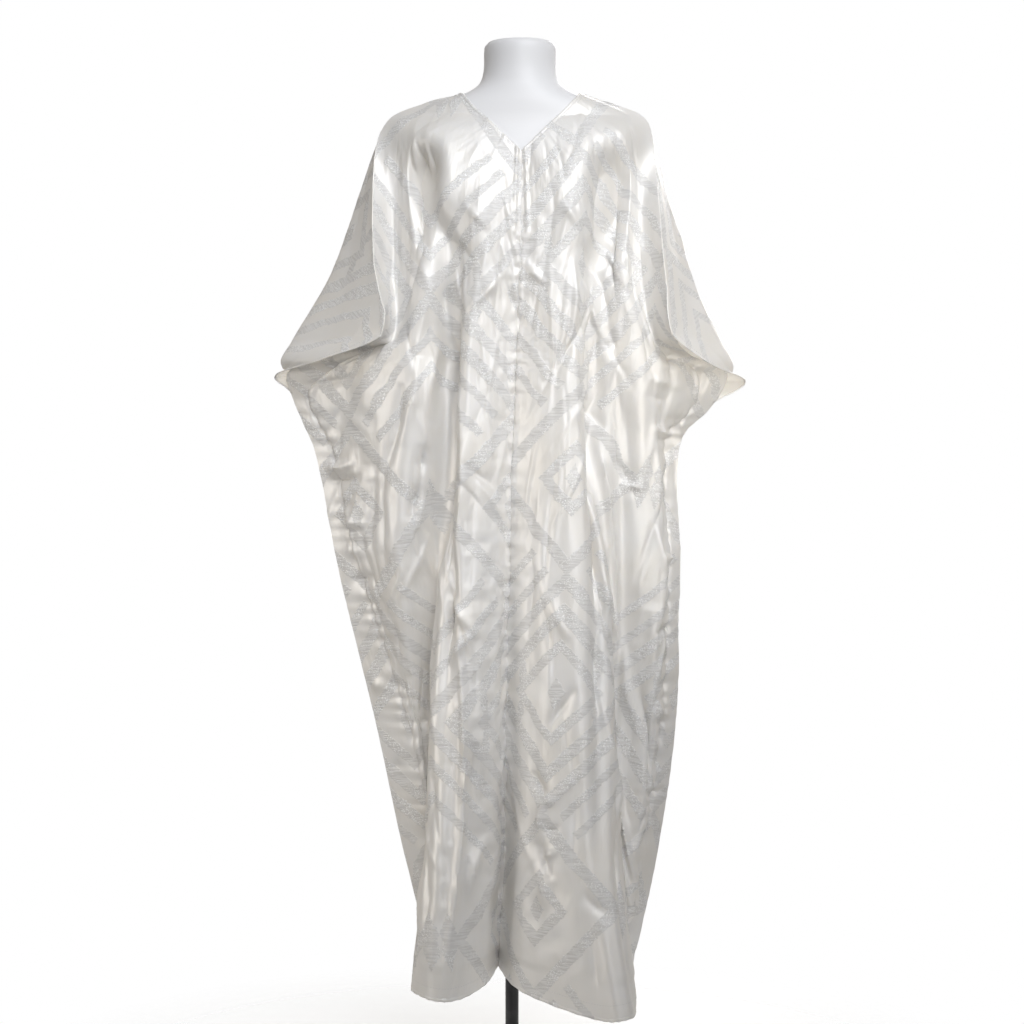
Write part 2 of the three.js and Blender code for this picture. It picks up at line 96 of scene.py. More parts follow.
FRONT_LEFT = """
1490 8 -89 20 -86 40 -77 56 -66 71 -52 86 -30 101 -1
1476 14 -101 33 -100 62 -93 87 -83 108 -67 128 -40 143 -3
1450 24 -114 54 -115 90 -109 119 -97 149 -80 175 -50 197 -8
1375 36 -124 82 -125 108 -110 140 -82 164 -66 185 -54 209 -48
1200 26 -127 62 -132 92 -121 113 -99 150 -107 190 -72 222 -112
1101 20 -126 52 -133 86 -121 108 -97 176 -104 206 -80 231 -135
1074 19 -125 50 -133 88 -120 112 -95 182 -103 226 -66 266 -54
1052 18 -125 50 -133 90 -119 114 -93 188 -99 276 -44 322 -32
1002 17 -124 50 -133 93 -119 116 -92 194 -88 274 -26 304 -14
940 14 -121 50 -133 98 -118 122 -90 204 -64 228 -10 252 4
740 12 -116 50 -136 128 -118 138 -62 214 -52 232 -16 252 4
500 12 -116 62 -144 138 -118 142 -28 204 -40 222 -12 246 12
280 8 -118 80 -160 150 -132 146 -30 180 -22 190 -6 216 24
103 3 -122 118 -196 168 -184 158 -60 150 -6 152 10 177 24"""
HEM_RIGHT = (121, 104, 91, 101, 108, 106, 104, 104)
HEM_LEFT = (121, 96, 70, 78, 98, 104, 103, 103)
BACK_LINES = ("edge", "stitch", "bend", "blade", "middle", "centre")
BACK_RISE = (1, 0.97, 0.9, 0.66, 0.3, 0)
BACK_CAD_CELLS = (2, 2, 4, 4, 2)
BACK_HEADER = "edge_z " + " ".join(f"{line}_x {line}_y" for line in BACK_LINES[:-1]) + " centre_y"
BACK_RIGHT = """
1490 101 -1 98 10 92 26 74 46 40 66 72
1476 153 -3 150 10 142 32 112 60 60 80 84
1450 207 -8 207 8 200 32 158 72 85 93 95
1385 226 -48 232 -22 233 12 195 72 108 102 101
1217 226 -108 264 -58 291 -4 238 68 125 107 104
1099 214 -138 292 -84 359 -10 282 66 140 110 106
1064 310 -92 352 -56 374 -10 288 66 140 111 107
1046 386 -18 376 14 340 48 264 80 138 112 108
1018 363 -9 336 -18 314 32 246 82 132 113 109
928 326 -5 297 -18 272 30 215 86 120 115 111
738 288 -2 252 -22 232 34 190 92 110 121 116
500 231 10 178 -18 180 42 162 100 100 132 124
280 184 26 135 -3 134 54 148 114 96 147 134
104 140 45 118 12 104 62 138 130 95 163 148"""
BACK_LEFT = """
1490 101 -1 98 10 92 26 74 46 40 66 72
1476 143 -3 141 10 133 32 106 60 58 80 84
1450 197 -8 197 8 191 32 152 72 83 93 95
1375 208 -48 215 -22 217 14 183 72 104 102 101
1200 222 -112 248 -60 266 -4 220 68 120 107 104
1101 231 -135 272 -80 313 -10 250 66 132 110 106
1058 292 -90 316 -56 330 -10 258 66 134 111 107
1036 354 -14 342 18 306 48 240 80 132 112 108
1002 304 -14 274 -26 262 26 215 82 126 113 109
940 252 4 228 -10 226 38 190 88 118 115 111
740 252 4 232 -16 222 42 184 94 110 121 116
500 246 12 222 -12 212 46 172 102 102 134 124
280 216 24 190 -6 182 60 160 118 96 148 134
103 177 24 152 10 150 72 150 132 94 162 148"""
# The back's broad folds: how far across a half each runs from its edge, its height, and its width.
BACK_FOLDS = (
    (0.34, 17, 0.07), (0.5, -15, 0.07), (0.64, 19, 0.07), (0.79, -16, 0.06), (0.92, 14, 0.06)
)
BACK_FOLDS_TOP = 1330  # height where they begin
FOLD_FADE = 0.2  # they grow from the edge over this share of the half
FOLD_GROWTH = 0.7  # power by which they grow down the drop
FOLD_FAN = 0.6  # how far they turn from straight back towards the side
FOLD_END = 5  # level where the sleeve's top fold ends
STITCHED = 8  # level from which the side is stitched
FLANGE_CAD_CELLS = 2

# How far each piece is cut from the axes of the woven repeat, across and down, in metres.
PATTERN_SHIFT = {"front_right": (0.0, 0.23), "front_left": (-0.1, 0.185), "back": (0.05, 0.2)}

# The form's sections: height, half width, depth to the front and to the back.
FORM_SECTIONS = """z side front back
1572 52 49 49
1565 57.5 54 54
1530 58.5 55 56
1508 65 58 60
1495 81 61 65
1484 107 63 69
1472 139 65 75
1460 168 66 80
1448 186 67 83
1432 194 70 86
1400 194 80 90
1350 182 97 93
1295 168 110 94
1235 152 106 91
1160 130 90 83
1090 119 80 79
1010 132 84 89
920 150 88 97
850 151 86 93
800 145 82 87
782 128 70 73
775 88 48 50"""

# ---- how finely each piece is made ----
HEM_SIDES = 12
HEM_HALF_WIDE, HEM_HALF_THICK, HEM_INSET = 2.8, 1.05, 1.7
SEAM_LIFT = 1.1  # the seam's welt lies this far out of the cloth's inner face
HEM_STITCH_ROW, CUFF_STITCH_COLUMN, NECK_STITCH_ROW = -4, 3, 2
ROWS_PER_SPAN = (12, 12, 14, 22, 24, 14, 14, 12, 18, 44, 54, 50, 34)
FRONT_CELLS = (16, 16, 24, 24, 24, 34, 10)
BACK_CELLS = (10, 14, 20, 22, 10)
FORM_SEGMENTS, FORM_STEPS = 128, 4  # points round the form, and rings between two sections


def columns(text, header=None):
    """A table of words and numbers as a dict of named columns."""
    lines = text.strip().splitlines()
    names = (header or lines.pop(0)).split()
    numbers = np.array([[float(x) for x in line.split()] for line in lines])
    return {name: numbers[:, i] for i, name in enumerate(names)}


def rows_of(text, part):
    """The numbers of each line of a table that begins with a part's name."""
    for line in text.strip().splitlines():
        name, *words = line.split()
        if name == part:
            yield [float(word) for word in words]


LEVEL = columns(LEVELS)
PLACE = LEVEL["height"][0] - LEVEL["height"]  # a row's place down the garment, at each level


def smooth(at, values, where):
    """A cubic through knots (at, values) whose slope at each knot is that of its neighbours."""
    i = np.clip(np.searchsorted(at, where, side="left") - 1, 0, len(at) - 2)
    slope = np.empty(len(at))
    slope[1:-1] = (values[2:] - values[:-2]) / (at[2:] - at[:-2])
    slope[0] = (values[1] - values[0]) / (at[1] - at[0])
    slope[-1] = (values[-1] - values[-2]) / (at[-1] - at[-2])
    span = at[i + 1] - at[i]
    t = np.clip((where - at[i]) / span, 0, 1)
    h = t * t * (3 - 2 * t)
    rise = t * (1 - t) ** 2 * slope[i] - t * t * (1 - t) * slope[i + 1]
    return values[i] * (1 - h) + values[i + 1] * h + span * rise


def row_places():
    """The place of each row of the fine surfaces: even steps between the levels."""
    spans = zip(PLACE, PLACE[1:], ROWS_PER_SPAN)
    steps = [np.linspace(top, bottom, n, endpoint=False) for top, bottom, n in spans]
    return np.append(np.concatenate(steps), PLACE[-1])


ROW = row_places()
JOINED = ROW <= PLACE[FOLD_END]  # rows where a front meets the back at the shoulder and the sleeve
SEWN = ROW >= PLACE[STITCHED]  # rows where they are stitched together at the side
CUFF = (ROW >= PLACE[FOLD_END]) & (ROW <= PLACE[STITCHED])
# 1 over the sleeve, where cloth turns smoothly at the stitching line, and 0 where it is stitched.
STITCH_CORNER = 1 - np.clip((ROW - PLACE[FOLD_END]) / (PLACE[STITCHED] - PLACE[FOLD_END]), 0, 1)


def down(values):
    """A table's column at every row."""
    return smooth(PLACE, values, ROW)


def length(v):
    return np.sqrt((v * v).sum(-1))


def unit(v):
    return v / np.maximum(length(v), 1e-9)[..., None]


def ribbon(knots, corner, cells):
    """A surface through lines of knots (line, row, xyz): a cubic across each row, whose slope at a
    line is that of its neighbours times corner (line, row), with cells[k] steps after line k."""
    last = len(knots) - 1
    slope = np.array([
        0.5 * corner[k][:, None] * (knots[min(k + 1, last)] - knots[max(k - 1, 0)])
        for k in range(last + 1)
    ])
    strips = [knots[0][:, None]]
    for k, steps in enumerate(cells):
        t = (np.arange(1, steps + 1) / steps)[None, :, None]
        h = t * t * (3 - 2 * t)
        p, q, m, n = (a[:, None] for a in (knots[k], knots[k + 1], slope[k], slope[k + 1]))
        strips.append(p * (1 - h) + q * h + m * t * (1 - t) ** 2 - n * t * t * (1 - t))
    return np.concatenate(strips, axis=1)


def front_surface(text, hem, side):
    """A front's surface: rows down the garment, columns from the centre seam to the free edge."""
    table = columns(text, FRONT_HEADER)
    table |= {"seam_x": side * LEVEL["seam_x"], "seam_y": LEVEL["seam_y"]}
    low, high = down(LEVEL["height"]), down(table["edge_z"])
    to_hem = np.clip((ROW - PLACE[-2]) / (PLACE[-1] - PLACE[-2]), 0, 1) ** 2
    hem_low, hem_high = LEVEL["height"][-1], table["edge_z"][-1]
    knots = []
    for line, rise, hem_z in zip(FRONT_LINES, FRONT_RISE, hem):
        x, y = down(table[line + "_x"]), down(table[line + "_y"])
        z = low + (high - low) * rise + (hem_z - hem_low - (hem_high - hem_low) * rise) * to_hem
        knots.append(np.stack([NECK_X + side * x, y, z], axis=1))
    knots = np.array(knots)
    corner = np.ones(knots.shape[:2])
    corner[FRONT_LINES.index("stitch")] = STITCH_CORNER
    return ribbon(knots, corner, FRONT_CELLS)


def back_half_surface(text, side, front):
    """Half the back, columns from its edge to the centre. The edge lies on the front's where they
    join. Broad folds push it out: bells across the half that grow down the drop."""
    table = columns(text, BACK_HEADER) | {"centre_x": 0 * PLACE}
    low, high = down(LEVEL["back_height"]), down(table["edge_z"])
    knots = []
    for line, rise in zip(BACK_LINES, BACK_RISE):
        x, y = down(table[line + "_x"]), down(table[line + "_y"])
        knots.append(np.stack([NECK_X + side * x, y, low + (high - low) * rise], axis=1))
    meets = JOINED | SEWN
    knots[0][meets] = front[meets, -1]
    knots[1][SEWN] = front[SEWN, -1 - BACK_CELLS[0]]
    mirrored = knots[-2] * (-1, 1, 1) + (2 * NECK_X, 0, 0)
    knots = np.array([*knots, mirrored])
    corner = np.ones(knots.shape[:2])
    corner[1] = STITCH_CORNER
    surface = ribbon(knots, corner, BACK_CELLS)
    ends, cad_ends = np.cumsum((0, *BACK_CELLS)), np.cumsum((0, *BACK_CAD_CELLS))
    cell = np.interp(np.arange(surface.shape[1]), ends, cad_ends)
    share = np.clip((cell - FLANGE_CAD_CELLS) / (cad_ends[-1] - FLANGE_CAD_CELLS), 0, 1)
    push = sum(
        out * np.exp(-(((share - across) / width) ** 2)) for across, out, width in BACK_FOLDS
    )
    hem = LEVEL["back_height"][-1]
    drop = np.clip((BACK_FOLDS_TOP - low) / (BACK_FOLDS_TOP - hem), 0, 1) ** FOLD_GROWTH
    x, y, z = (surface[..., k] for k in range(3))
    way = unit(np.stack([FOLD_FAN * (x - NECK_X), np.maximum(y, 20), 0 * z], -1))
    push = push * np.clip(share / FOLD_FADE, 0, 1)
    return surface + way * push[None, :, None] * drop[:, None, None]


def normals(surface, outward):
    """Unit normals of a grid: its two gradients crossed. outward is 1 or -1."""
    return outward * unit(np.cross(np.gradient(surface, axis=1), np.gradient(surface, axis=0)))


# ---- the dress form ----
FORM = columns(FORM_SECTIONS)
FORM_CLEARANCE = 1.4  # cloth to form
CLEARING_PASSES = 6


def form_size(z, key):
    """Half width, front depth or back depth of the form at a height."""
    return smooth(-FORM["z"], FORM[key], -z)


def outside_form(p):
    """How far points are outside the form's section at their height, as a share of it."""
    depth = np.where(p[..., 1] < 0, form_size(p[..., 2], "front"), form_size(p[..., 2], "back"))
    x = (p[..., 0] - NECK_X * p[..., 2] / NECK_TOP) / form_size(p[..., 2], "side")
    return np.hypot(x, p[..., 1] / depth) - 1


def clear_of_form(p):
    """Moves points of the cloth out of the form along its own normal until they are clear."""
    for _ in range(CLEARING_PASSES):
        near = (p[..., 2] > FORM["z"][-1]) & (p[..., 2] < NECK_TOP)
        here = outside_form(p)
        slope = np.stack([outside_form(p + step) - here for step in np.eye(3)], axis=-1)
        size = np.maximum(length(slope), 1e-9)
        short = np.where(near, np.clip(FORM_CLEARANCE - here / size, 0, None), 0)
        p = p + slope / size[..., None] * short[..., None]
    return p


# ---- creases, crumples and puckers ----
# Listed creases, seen from the front, in mm: ends, width, and height out of the cloth (a trough is
# below 0). The part is R or L for a front, and RS or LS for what lies outside its side line.
CREASES = """part x1 z1 x2 z2 width out
R -166 1412 -158 1330 4 -4
R -155 1408 -150 1345 3.5 3.5
R -146 1402 -143 1350 3.5 -3.5
R -137 1395 -133 1340 4 3
R -128 1400 -122 1352 4 -3
R -136 1275 -165 1228 7 -6
R -165 1228 -174 1178 7 -5
R -98 1208 -89 1113 8 -8
R -89 1113 -93 1007 9 -8
R -84 1215 -80 1150 6 5
R -60 1141 -12 1208 8 5
R -70 1300 -40 1262 6 4
R -100 1250 -60 1215 6 -4
R -133 930 -143 878 7 -6
R -143 878 -153 820 7 -6
R -81 1000 -83 763 5 5
R -99 772 -95 571 7 -6
R -110 1090 -128 985 7 5
R -150 1060 -168 940 8 5
R -175 1020 -190 905 7 -5
R -72 905 -30 872 5 -3
R -66 642 -92 598 6 4
R -128 333 -133 198 4 5
R -110 430 -114 250 6 -4
R -60 470 -48 380 7 -4
R -95 700 -60 640 6 3.5
R -40 330 -70 260 8 4
R -20 250 -34 170 6 -3
R -116 660 -128 100 9 -8
R -100 690 -104 120 4 5
L 107 1284 194 1113 8 7
L 113 1237 145 1113 7 -6
L 145 1113 161 1068 7 -5
L 136 1255 190 1141 6 -6
L 199 1208 242 1102 7 6
L 107 1179 136 1093 7 5
L 89 1208 89 1093 5 4
L 21 1208 50 1183 5 4
L 76 1300 98 1270 6 4
L 150 1240 205 1125 6 5
L 96 1120 70 1030 7 -5
L 121 972 121 810 5 -6
L 121 810 135 666 6 -6
L 135 666 135 533 6 -5
L 144 906 142 763 4 5
L 142 763 164 639 4 5
L 225 954 220 820 4 5
L 220 820 236 666 4 5
L 164 906 191 857 6 -5
L 170 870 204 868 6 5
L 34 432 54 398 4 -5
L 54 398 43 328 5 5
L 43 328 54 275 4 -4
L 54 275 49 232 5 4
L 159 495 164 303 4 6
L 164 303 182 83 4 6
L 66 395 52 386 3 4
L 70 352 50 345 3 -4
L 68 315 48 306 3 4
L 90 560 62 500 6 -4
L 100 1010 140 960 7 -4
L 60 700 84 640 6 3
L 110 250 150 215 8 -4
L 180 620 196 480 6 4
L 132 950 150 560 3.5 5
L 150 560 186 80 3.5 6
L 142 940 160 560 5 -6
L 160 560 195 80 5 -6
L 206 560 214 430 5 -4
RS -330 1030 -240 1050 7 -4
RS -300 1110 -262 1060 7 5
RS -262 1180 -238 1120 7 -5
RS -292 900 -246 908 5 5
RS -286 880 -240 884 5 -4
RS -262 820 -230 812 6 4
RS -250 720 -216 730 6 -4
RS -226 560 -196 552 6 4
RS -200 420 -176 430 6 -4
LS 200 1042 262 1020 7 3
LS 206 1014 250 996 8 -2
LS 214 960 250 950 5 4
LS 238 1230 252 1150 6 -5
LS 262 1190 282 1110 7 5
LS 232 760 256 752 6 4
LS 226 640 250 646 6 -4
LS 222 520 246 512 6 4
LS 214 380 240 390 6 -4
"""
# Broad hollows beside the chest and fuller places, seen from the front, in mm: centre, half width,
# half height and height out of the cloth.
HOLLOWS = """part x z wide tall out
R -160 1318 30 66 -36
R -150 1428 34 30 9
R -104 1322 16 66 12
R -172 1215 20 70 -14
R -186 1360 20 46 -12
R -128 1350 22 40 -10
R -100 1020 14 190 -16
R -118 880 13 110 -10
R -96 700 16 240 -18
R -56 1290 40 60 4
L 160 1235 34 70 -25
L 150 1335 26 66 -18
L 188 1300 26 80 -14
L 124 900 12 150 -13
L 130 600 13 220 -15
L 84 1300 30 50 4
L 205 960 22 120 7
L 172 780 14 150 -7
RS -262 1000 26 60 -6
RS -258 800 30 140 5
LS 238 1000 22 60 -5
"""
LOBE_OUT = 11  # how much fuller the two long lobes beside the centre stand
LOBE_COLUMN, LOBE_WIDTH = 45, 8.5  # which grid column they are fullest at, and their half width
LOBE_START = (170, 330)  # places down the garment between which they begin
CREASE_CREST = 1.2  # radius of a crease's crest
CREASE_SCALE = 1.9
CREASE_BOW = 0.05  # how far a listed crease bends aside, as a share of its length
FACES_FRONT = -0.15  # listed creases only touch cloth whose normal's Y is below this
# The yoke is calmer: above this height, over this much drop, folds keep this share.
CALM_ABOVE, CALM_OVER, CALM = 1330, 90, 0.35
FRONT_CRUMPLE = 0.6  # the fronts' crumples beside the back's
LESSER_CREASES = 150  # on each piece
LATTICE = 64  # random values each way before the noise repeats
FRONT_FAN, BACK_FAN = (110, -150), (0, -60)  # the point of the cut from which they lean out
SEAM_RIDGE, SEAM_WIDTH = 1.7, 4.5  # the centre seam's raised line: its height and width
SLIT_END = 135  # how far below the V's point the closed slit runs
SLIT_HALF = 7  # its two raised lines, each this far from the seam
PUCKER = 1.5  # height of the puckers beside a stitched line
STITCH_FADE = 60  # the side stitching sets in over this much drop below the sleeve's fold
FOLLOWS = 14  # columns of the back beside the side stitching that follow the fronts' moves
GROOVE, GROOVE_WIDTH = 2.4, 3.2  # depth and half width of the groove along the side stitching
FLANGE = FRONT_CELLS[-1]  # columns from the side stitching to the free edge
SIDE_COLUMN = sum(FRONT_CELLS[:5])  # the column of the fronts' side line
HELD, HELD_HEM, HEM_ROWS = 40, 25, 8  # pull of the side edges and of the last rows to their place


def tent(away, width):
    """A crease's section: it falls off like a tent's sides from a rounded ridge."""
    return np.exp(-(np.hypot(away, CREASE_CREST) - CREASE_CREST) / width)


def add_hollows(surface, part):
    """The lift of broad soft hollows and full places, oval bells seen from the front."""
    lift = np.zeros(surface.shape[:2])
    for x, z, wide, tall, out in rows_of(HOLLOWS, part):
        bell = -(((surface[..., 0] - x) / wide) ** 2) - ((surface[..., 2] - z) / tall) ** 2
        lift += out * np.exp(bell)
    return lift


def add_creases(surface, n, part, cols):
    """The lift of one part's listed creases: highest in the middle, nothing at both ends, with a
    tent's section and a slight bend."""
    lift = np.zeros(surface.shape[:2])
    for x1, z1, x2, z2, width, out in rows_of(CREASES, part):
        along = np.array([x2 - x1, z2 - z1])
        reach = np.hypot(*along)
        p = surface[..., [0, 2]] - (x1, z1)
        t = p @ along / reach**2
        bend = CREASE_BOW * reach * np.sin(2.6 * t + x1)
        away = (p[..., 0] * along[1] - p[..., 1] * along[0]) / reach + bend
        end = np.clip(1 - np.abs(t - 0.5) * 1.7, 0, 1) ** 0.8
        lift += out * end * tent(away, width) * (n[..., 1] < FACES_FRONT)
    lift[:, :cols.start] = 0
    lift[:, cols.stop:] = 0
    return lift


def waves(u, v, cell_u, cell_v, seed):
    """Smooth noise from -1 to 1: a lattice of seeded random values with soft steps between."""
    lattice = np.random.default_rng(seed).uniform(-1, 1, (LATTICE, LATTICE))
    a, b = u / cell_u, v / cell_v
    i, j = np.floor(a).astype(int), np.floor(b).astype(int)
    f, g = a - i, b - j
    f, g = f * f * (3 - 2 * f), g * g * (3 - 2 * g)

    def row(dj):
        near, far = (lattice[(i + di) % LATTICE, (j + dj) % LATTICE] for di in (0, 1))
        return near * (1 - f) + far * f

    return row(0) * (1 - g) + row(1) * g


def crumple(u, v, seed):
    """Shallow crumples of a crisp silk: long ridges bent by slower noise, finer ones across."""
    u, v = u + 1000, v + 3000
    bend = 26 * waves(u, v, 90, 160, seed)
    tilt = 40 * waves(u, v, 150, 120, seed + 1)
    long = 1 - 2 * np.abs(waves(u + bend, v + tilt, 34, 150, seed + 2))
    cross = 1 - 2 * np.abs(waves(u + tilt, v + bend, 60, 46, seed + 3))
    fine = waves(u + 0.4 * bend, v + 0.4 * tilt, 13, 24, seed + 4)
    patch = np.clip(0.5 + waves(u, v, 120, 190, seed + 5), 0.15, 1)
    return patch * (1.5 * long + 0.8 * cross + 0.45 * fine)


def scattered(u, v, seed, fan):
    """Lesser creases all over a piece, on its flat cut: mostly along the drop, leaning out from the
    point fan in u and v, each of its own length, width and height, highest in its middle."""
    draw = np.random.default_rng(seed)
    lift = np.zeros(u.shape)
    for _ in range(LESSER_CREASES):
        row, column = draw.integers(0, u.shape[0]), draw.integers(0, u.shape[1])
        u0, v0 = u[row, column], v[row, column]
        lean = 0.5 * math.atan2(u0 - fan[0], abs(v0 - fan[1]) + 160) + draw.normal(0, 0.24)
        half, width = draw.uniform(28, 125), draw.uniform(1.8, 5.5)
        out = draw.uniform(1.2, 3.4) * draw.choice((-1, 1))
        p, q = u - u0, v - v0
        along = (p * math.sin(lean) - q * math.cos(lean)) / half
        bow = draw.uniform(-0.1, 0.1) * half * along**2
        away = p * math.cos(lean) + q * math.sin(lean) + bow
        lift += out * np.clip(1 - along**2, 0, 1) ** 1.5 * tent(away, width)
    return lift


# ---- buckling and the flat cut ----
def pair(grid, di, dj):
    """Where every point of a grid is, and its neighbour di rows down and dj columns across."""
    rows, cols = grid.shape[:2]
    one = (slice(0, rows - di), slice(max(0, -dj), cols - max(0, dj)))
    two = (slice(di, rows), slice(max(0, dj), cols - max(0, -dj)))
    return one, two


def relaxed(points, links, gain):
    """Moves that take linked neighbours towards their rest distance: each point's mean, a link
    counting by its share, times gain."""
    move, count = np.zeros_like(points), np.zeros(points.shape[:2])
    for one, two, rest, share in links:
        gap = points[two] - points[one]
        now = np.maximum(length(gap), 1e-6)
        fix = gap * (share * (now - rest) / now)[..., None]
        move[one] += fix
        move[two] -= fix
        count[one] += share * 2
        count[two] += share * 2
    return gain * move / count[..., None]


# From coarse to fine: the step between rows and columns, the passes, and the pull to the goal.
BUCKLE_GRIDS = ((4, 160, 0.0010), (2, 90, 0.002), (1, 30, 0.004))
# Rows and columns to a neighbour, and how much its distance counts.
BUCKLE_LINKS = ((0, 1, 1), (1, 0, 1), (1, 1, 0.8), (1, -1, 0.8), (0, 2, 0.35), (2, 0, 0.35))
BUCKLE_GAIN, BUCKLE_DRIFT, BUCKLE_START = 1.2, 0.82, 1.2


def settle(goal, n, pinned, grow_across, grow_down, seed, stay):
    """Lets crisp cloth that is a little larger than its goal surface buckle over it. Neighbours
    move to their grown distances, with some of the last move kept, while every point is drawn
    weakly to its goal. Each grid hands its moves on to the finer one."""
    rows, cols = goal.shape[:2]
    moved = None
    for step, passes, pull in BUCKLE_GRIDS:
        at = (slice(0, rows, step), slice(0, cols, step))
        base, fixed = goal[at], pinned[at][..., None]
        if moved is None:
            draw = np.random.default_rng(seed)
            moved = n[at] * draw.uniform(-BUCKLE_START, BUCKLE_START, base.shape[:2])[..., None]
        else:
            moved = doubled(moved)
        points = np.where(fixed, base, base + moved)
        links = []
        for di, dj, share in BUCKLE_LINKS:
            one, two = pair(base, di, dj)
            grow = (grow_across * abs(dj) + grow_down * di)[at] / (abs(dj) + di)
            rest = length(base[two] - base[one]) * (1 + 0.5 * (grow[one] + grow[two]))
            links.append((one, two, rest, 0.5 * share))
        weak = (pull * stay)[at][..., None]
        before = points
        for _ in range(passes):
            drift = BUCKLE_DRIFT * (points - before)
            before = points
            fix = relaxed(points, links, BUCKLE_GAIN)
            points = np.where(fixed, base, points + drift + fix + weak * (base - points))
        moved = points - base
    return goal + moved


def doubled(values):
    """A grid with a new value halfway between each two neighbours."""
    wide = np.empty((values.shape[0], values.shape[1] * 2 - 1, values.shape[2]))
    wide[:, ::2] = values
    wide[:, 1::2] = 0.5 * (values[:, 1:] + values[:, :-1])
    tall = np.empty((wide.shape[0] * 2 - 1, wide.shape[1], wide.shape[2]))
    tall[::2] = wide
    tall[1::2] = 0.5 * (wide[1:] + wide[:-1])
    return tall


FLAT_GAIN, FLAT_PASSES = 1.3, 400
CUT_ROWS, CUT_COLUMNS = 8, 4  # the flat cut is worked out on every so many of them


def flat_cut(surface, centre):
    """The piece laid flat: (u, v) of each grid point, in mm, so that lengths along rows, columns
    and diagonals stay those of the hung piece. It starts from lengths along the rows and down the
    centre column, and each pass moves neighbours towards their true distance."""
    steps = np.cumsum(length(surface[:, 1:] - surface[:, :-1]), 1)
    along = np.concatenate([np.zeros((len(surface), 1)), steps], 1)
    drop = np.cumsum(length(surface[1:, centre] - surface[:-1, centre]))
    drop = np.concatenate([[0], drop])
    top = surface[:, :, 2] - surface[:, centre, None, 2]
    flat = np.stack([along - along[:, centre, None], -drop[:, None] + top], axis=-1)
    links = []
    for di, dj in ((0, 1), (1, 0), (1, 1), (1, -1)):
        one, two = pair(surface, di, dj)
        links.append((one, two, length(surface[one] - surface[two]), 0.5))
    for _ in range(FLAT_PASSES):
        flat = flat + relaxed(flat, links, FLAT_GAIN)
    return flat


def cut_of(surface, centre):
    """The flat cut of a fine surface, worked out on a coarser grid and spread evenly between."""
    rows, cols = surface.shape[:2]
    rows_at = np.unique(np.append(np.arange(0, rows, CUT_ROWS), rows - 1))
    cols_at = np.unique(np.append(np.arange(0, cols, CUT_COLUMNS), [centre, cols - 1]))
    middle = int(np.searchsorted(cols_at, centre))
    flat = flat_cut(surface[np.ix_(rows_at, cols_at)], middle)
    flat -= flat[0, middle]
    for axis, count, at in ((1, cols, cols_at), (0, rows, rows_at)):
        flat = np.apply_along_axis(lambda a: np.interp(np.arange(count), at, a), axis, flat)
    return flat


# ---- meshes ----
WALL_SHARP, FORM_SHARP = 60, 35  # degrees between faces above which an edge is drawn sharp


def add_object(name, mesh, material):
    """A finished piece: in the scene, shaded smooth, riding on the frame's one body."""
    piece = bpy.data.objects.new(name, mesh)
    bpy.context.scene.collection.objects.link(piece)
    mesh.materials.append(material)
    mesh.polygons.foreach_set("use_smooth", [True] * len(mesh.polygons))
    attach(piece, "root")
    return piece


def tube(ids):
    """The faces of four between rings of points."""
    after = np.roll(ids, -1, axis=1)
    return np.stack([ids[:-1], after[:-1], after[1:], ids[1:]], -1).reshape(-1, 4)


def lay_cut(mesh, flat, faces):
    """Gives a mesh the flat cut's coordinates, in metres, as its UV map."""
    mesh.uv_layers.new(name="cut").data.foreach_set("uv", (flat[faces.ravel()] * MM).ravel())


def wall_mesh(name, surface, n, outward, thickness, flat):
    """A closed wall: the surface, the same moved out along its normals, and a rim between them. Its
    attribute "inside" is 1 on the first and 0 on the second."""
    rows, cols = surface.shape[:2]
    points = np.concatenate([surface.reshape(-1, 3), (surface + n * thickness).reshape(-1, 3)])
    ids = np.arange(rows * cols).reshape(rows, cols)
    a, b, c, d = ids[:-1, :-1], ids[:-1, 1:], ids[1:, 1:], ids[1:, :-1]
    outer = np.stack([a, b, c, d], -1).reshape(-1, 4) + rows * cols
    inner = np.stack([a, d, c, b], -1).reshape(-1, 4)
    ring = np.concatenate([ids[0, :-1], ids[:-1, -1], ids[-1, :0:-1], ids[:0:-1, 0]])
    after = np.roll(ring, -1)
    rim = np.stack([ring, after, after + rows * cols, ring + rows * cols], -1)
    faces = np.concatenate([outer, inner, rim])[:, ::outward]
    mesh = bpy.data.meshes.new(name)
    mesh.vertices.add(len(points))
    mesh.vertices.foreach_set("co", (points * MM + (0, 0, DATUM * MM)).ravel())
    mesh.loops.add(faces.size)
    mesh.loops.foreach_set("vertex_index", faces.ravel())
    mesh.polygons.add(len(faces))
    mesh.polygons.foreach_set("loop_start", np.arange(0, faces.size, 4))
    mesh.polygons.foreach_set("loop_total", np.full(len(faces), 4))
    mesh.update(calc_edges=True)
    mesh.validate()
    lay_cut(mesh, np.concatenate([flat.reshape(-1, 2)] * 2), faces)
    inside = mesh.attributes.new("inside", "FLOAT", "POINT")
    inside.data.foreach_set("value", np.repeat((1.0, 0.0), rows * cols))
    mesh.set_sharp_from_angle(angle=math.radians(WALL_SHARP))
    return mesh


def closed_mesh(name, points, faces, flat=None):
    """A mesh from points in mm and faces of four, turned right side out by its volume's sign."""
    a, b, c, d = (points[faces[:, i]] for i in range(4))
    if (np.cross(b - a, c - a) * a).sum() + (np.cross(c - a, d - a) * a).sum() < 0:
        faces = faces[:, ::-1]
    mesh = bpy.data.meshes.new(name)
    mesh.from_pydata((points * MM + (0, 0, DATUM * MM)).tolist(), [], faces.tolist())
    if flat is not None:
        lay_cut(mesh, flat, faces)
    return mesh


HEM_SWELL = 0.16  # how much the rolled edge swells and thins along its length
HEM_RISE = 0.55  # how far it stands out of the cloth


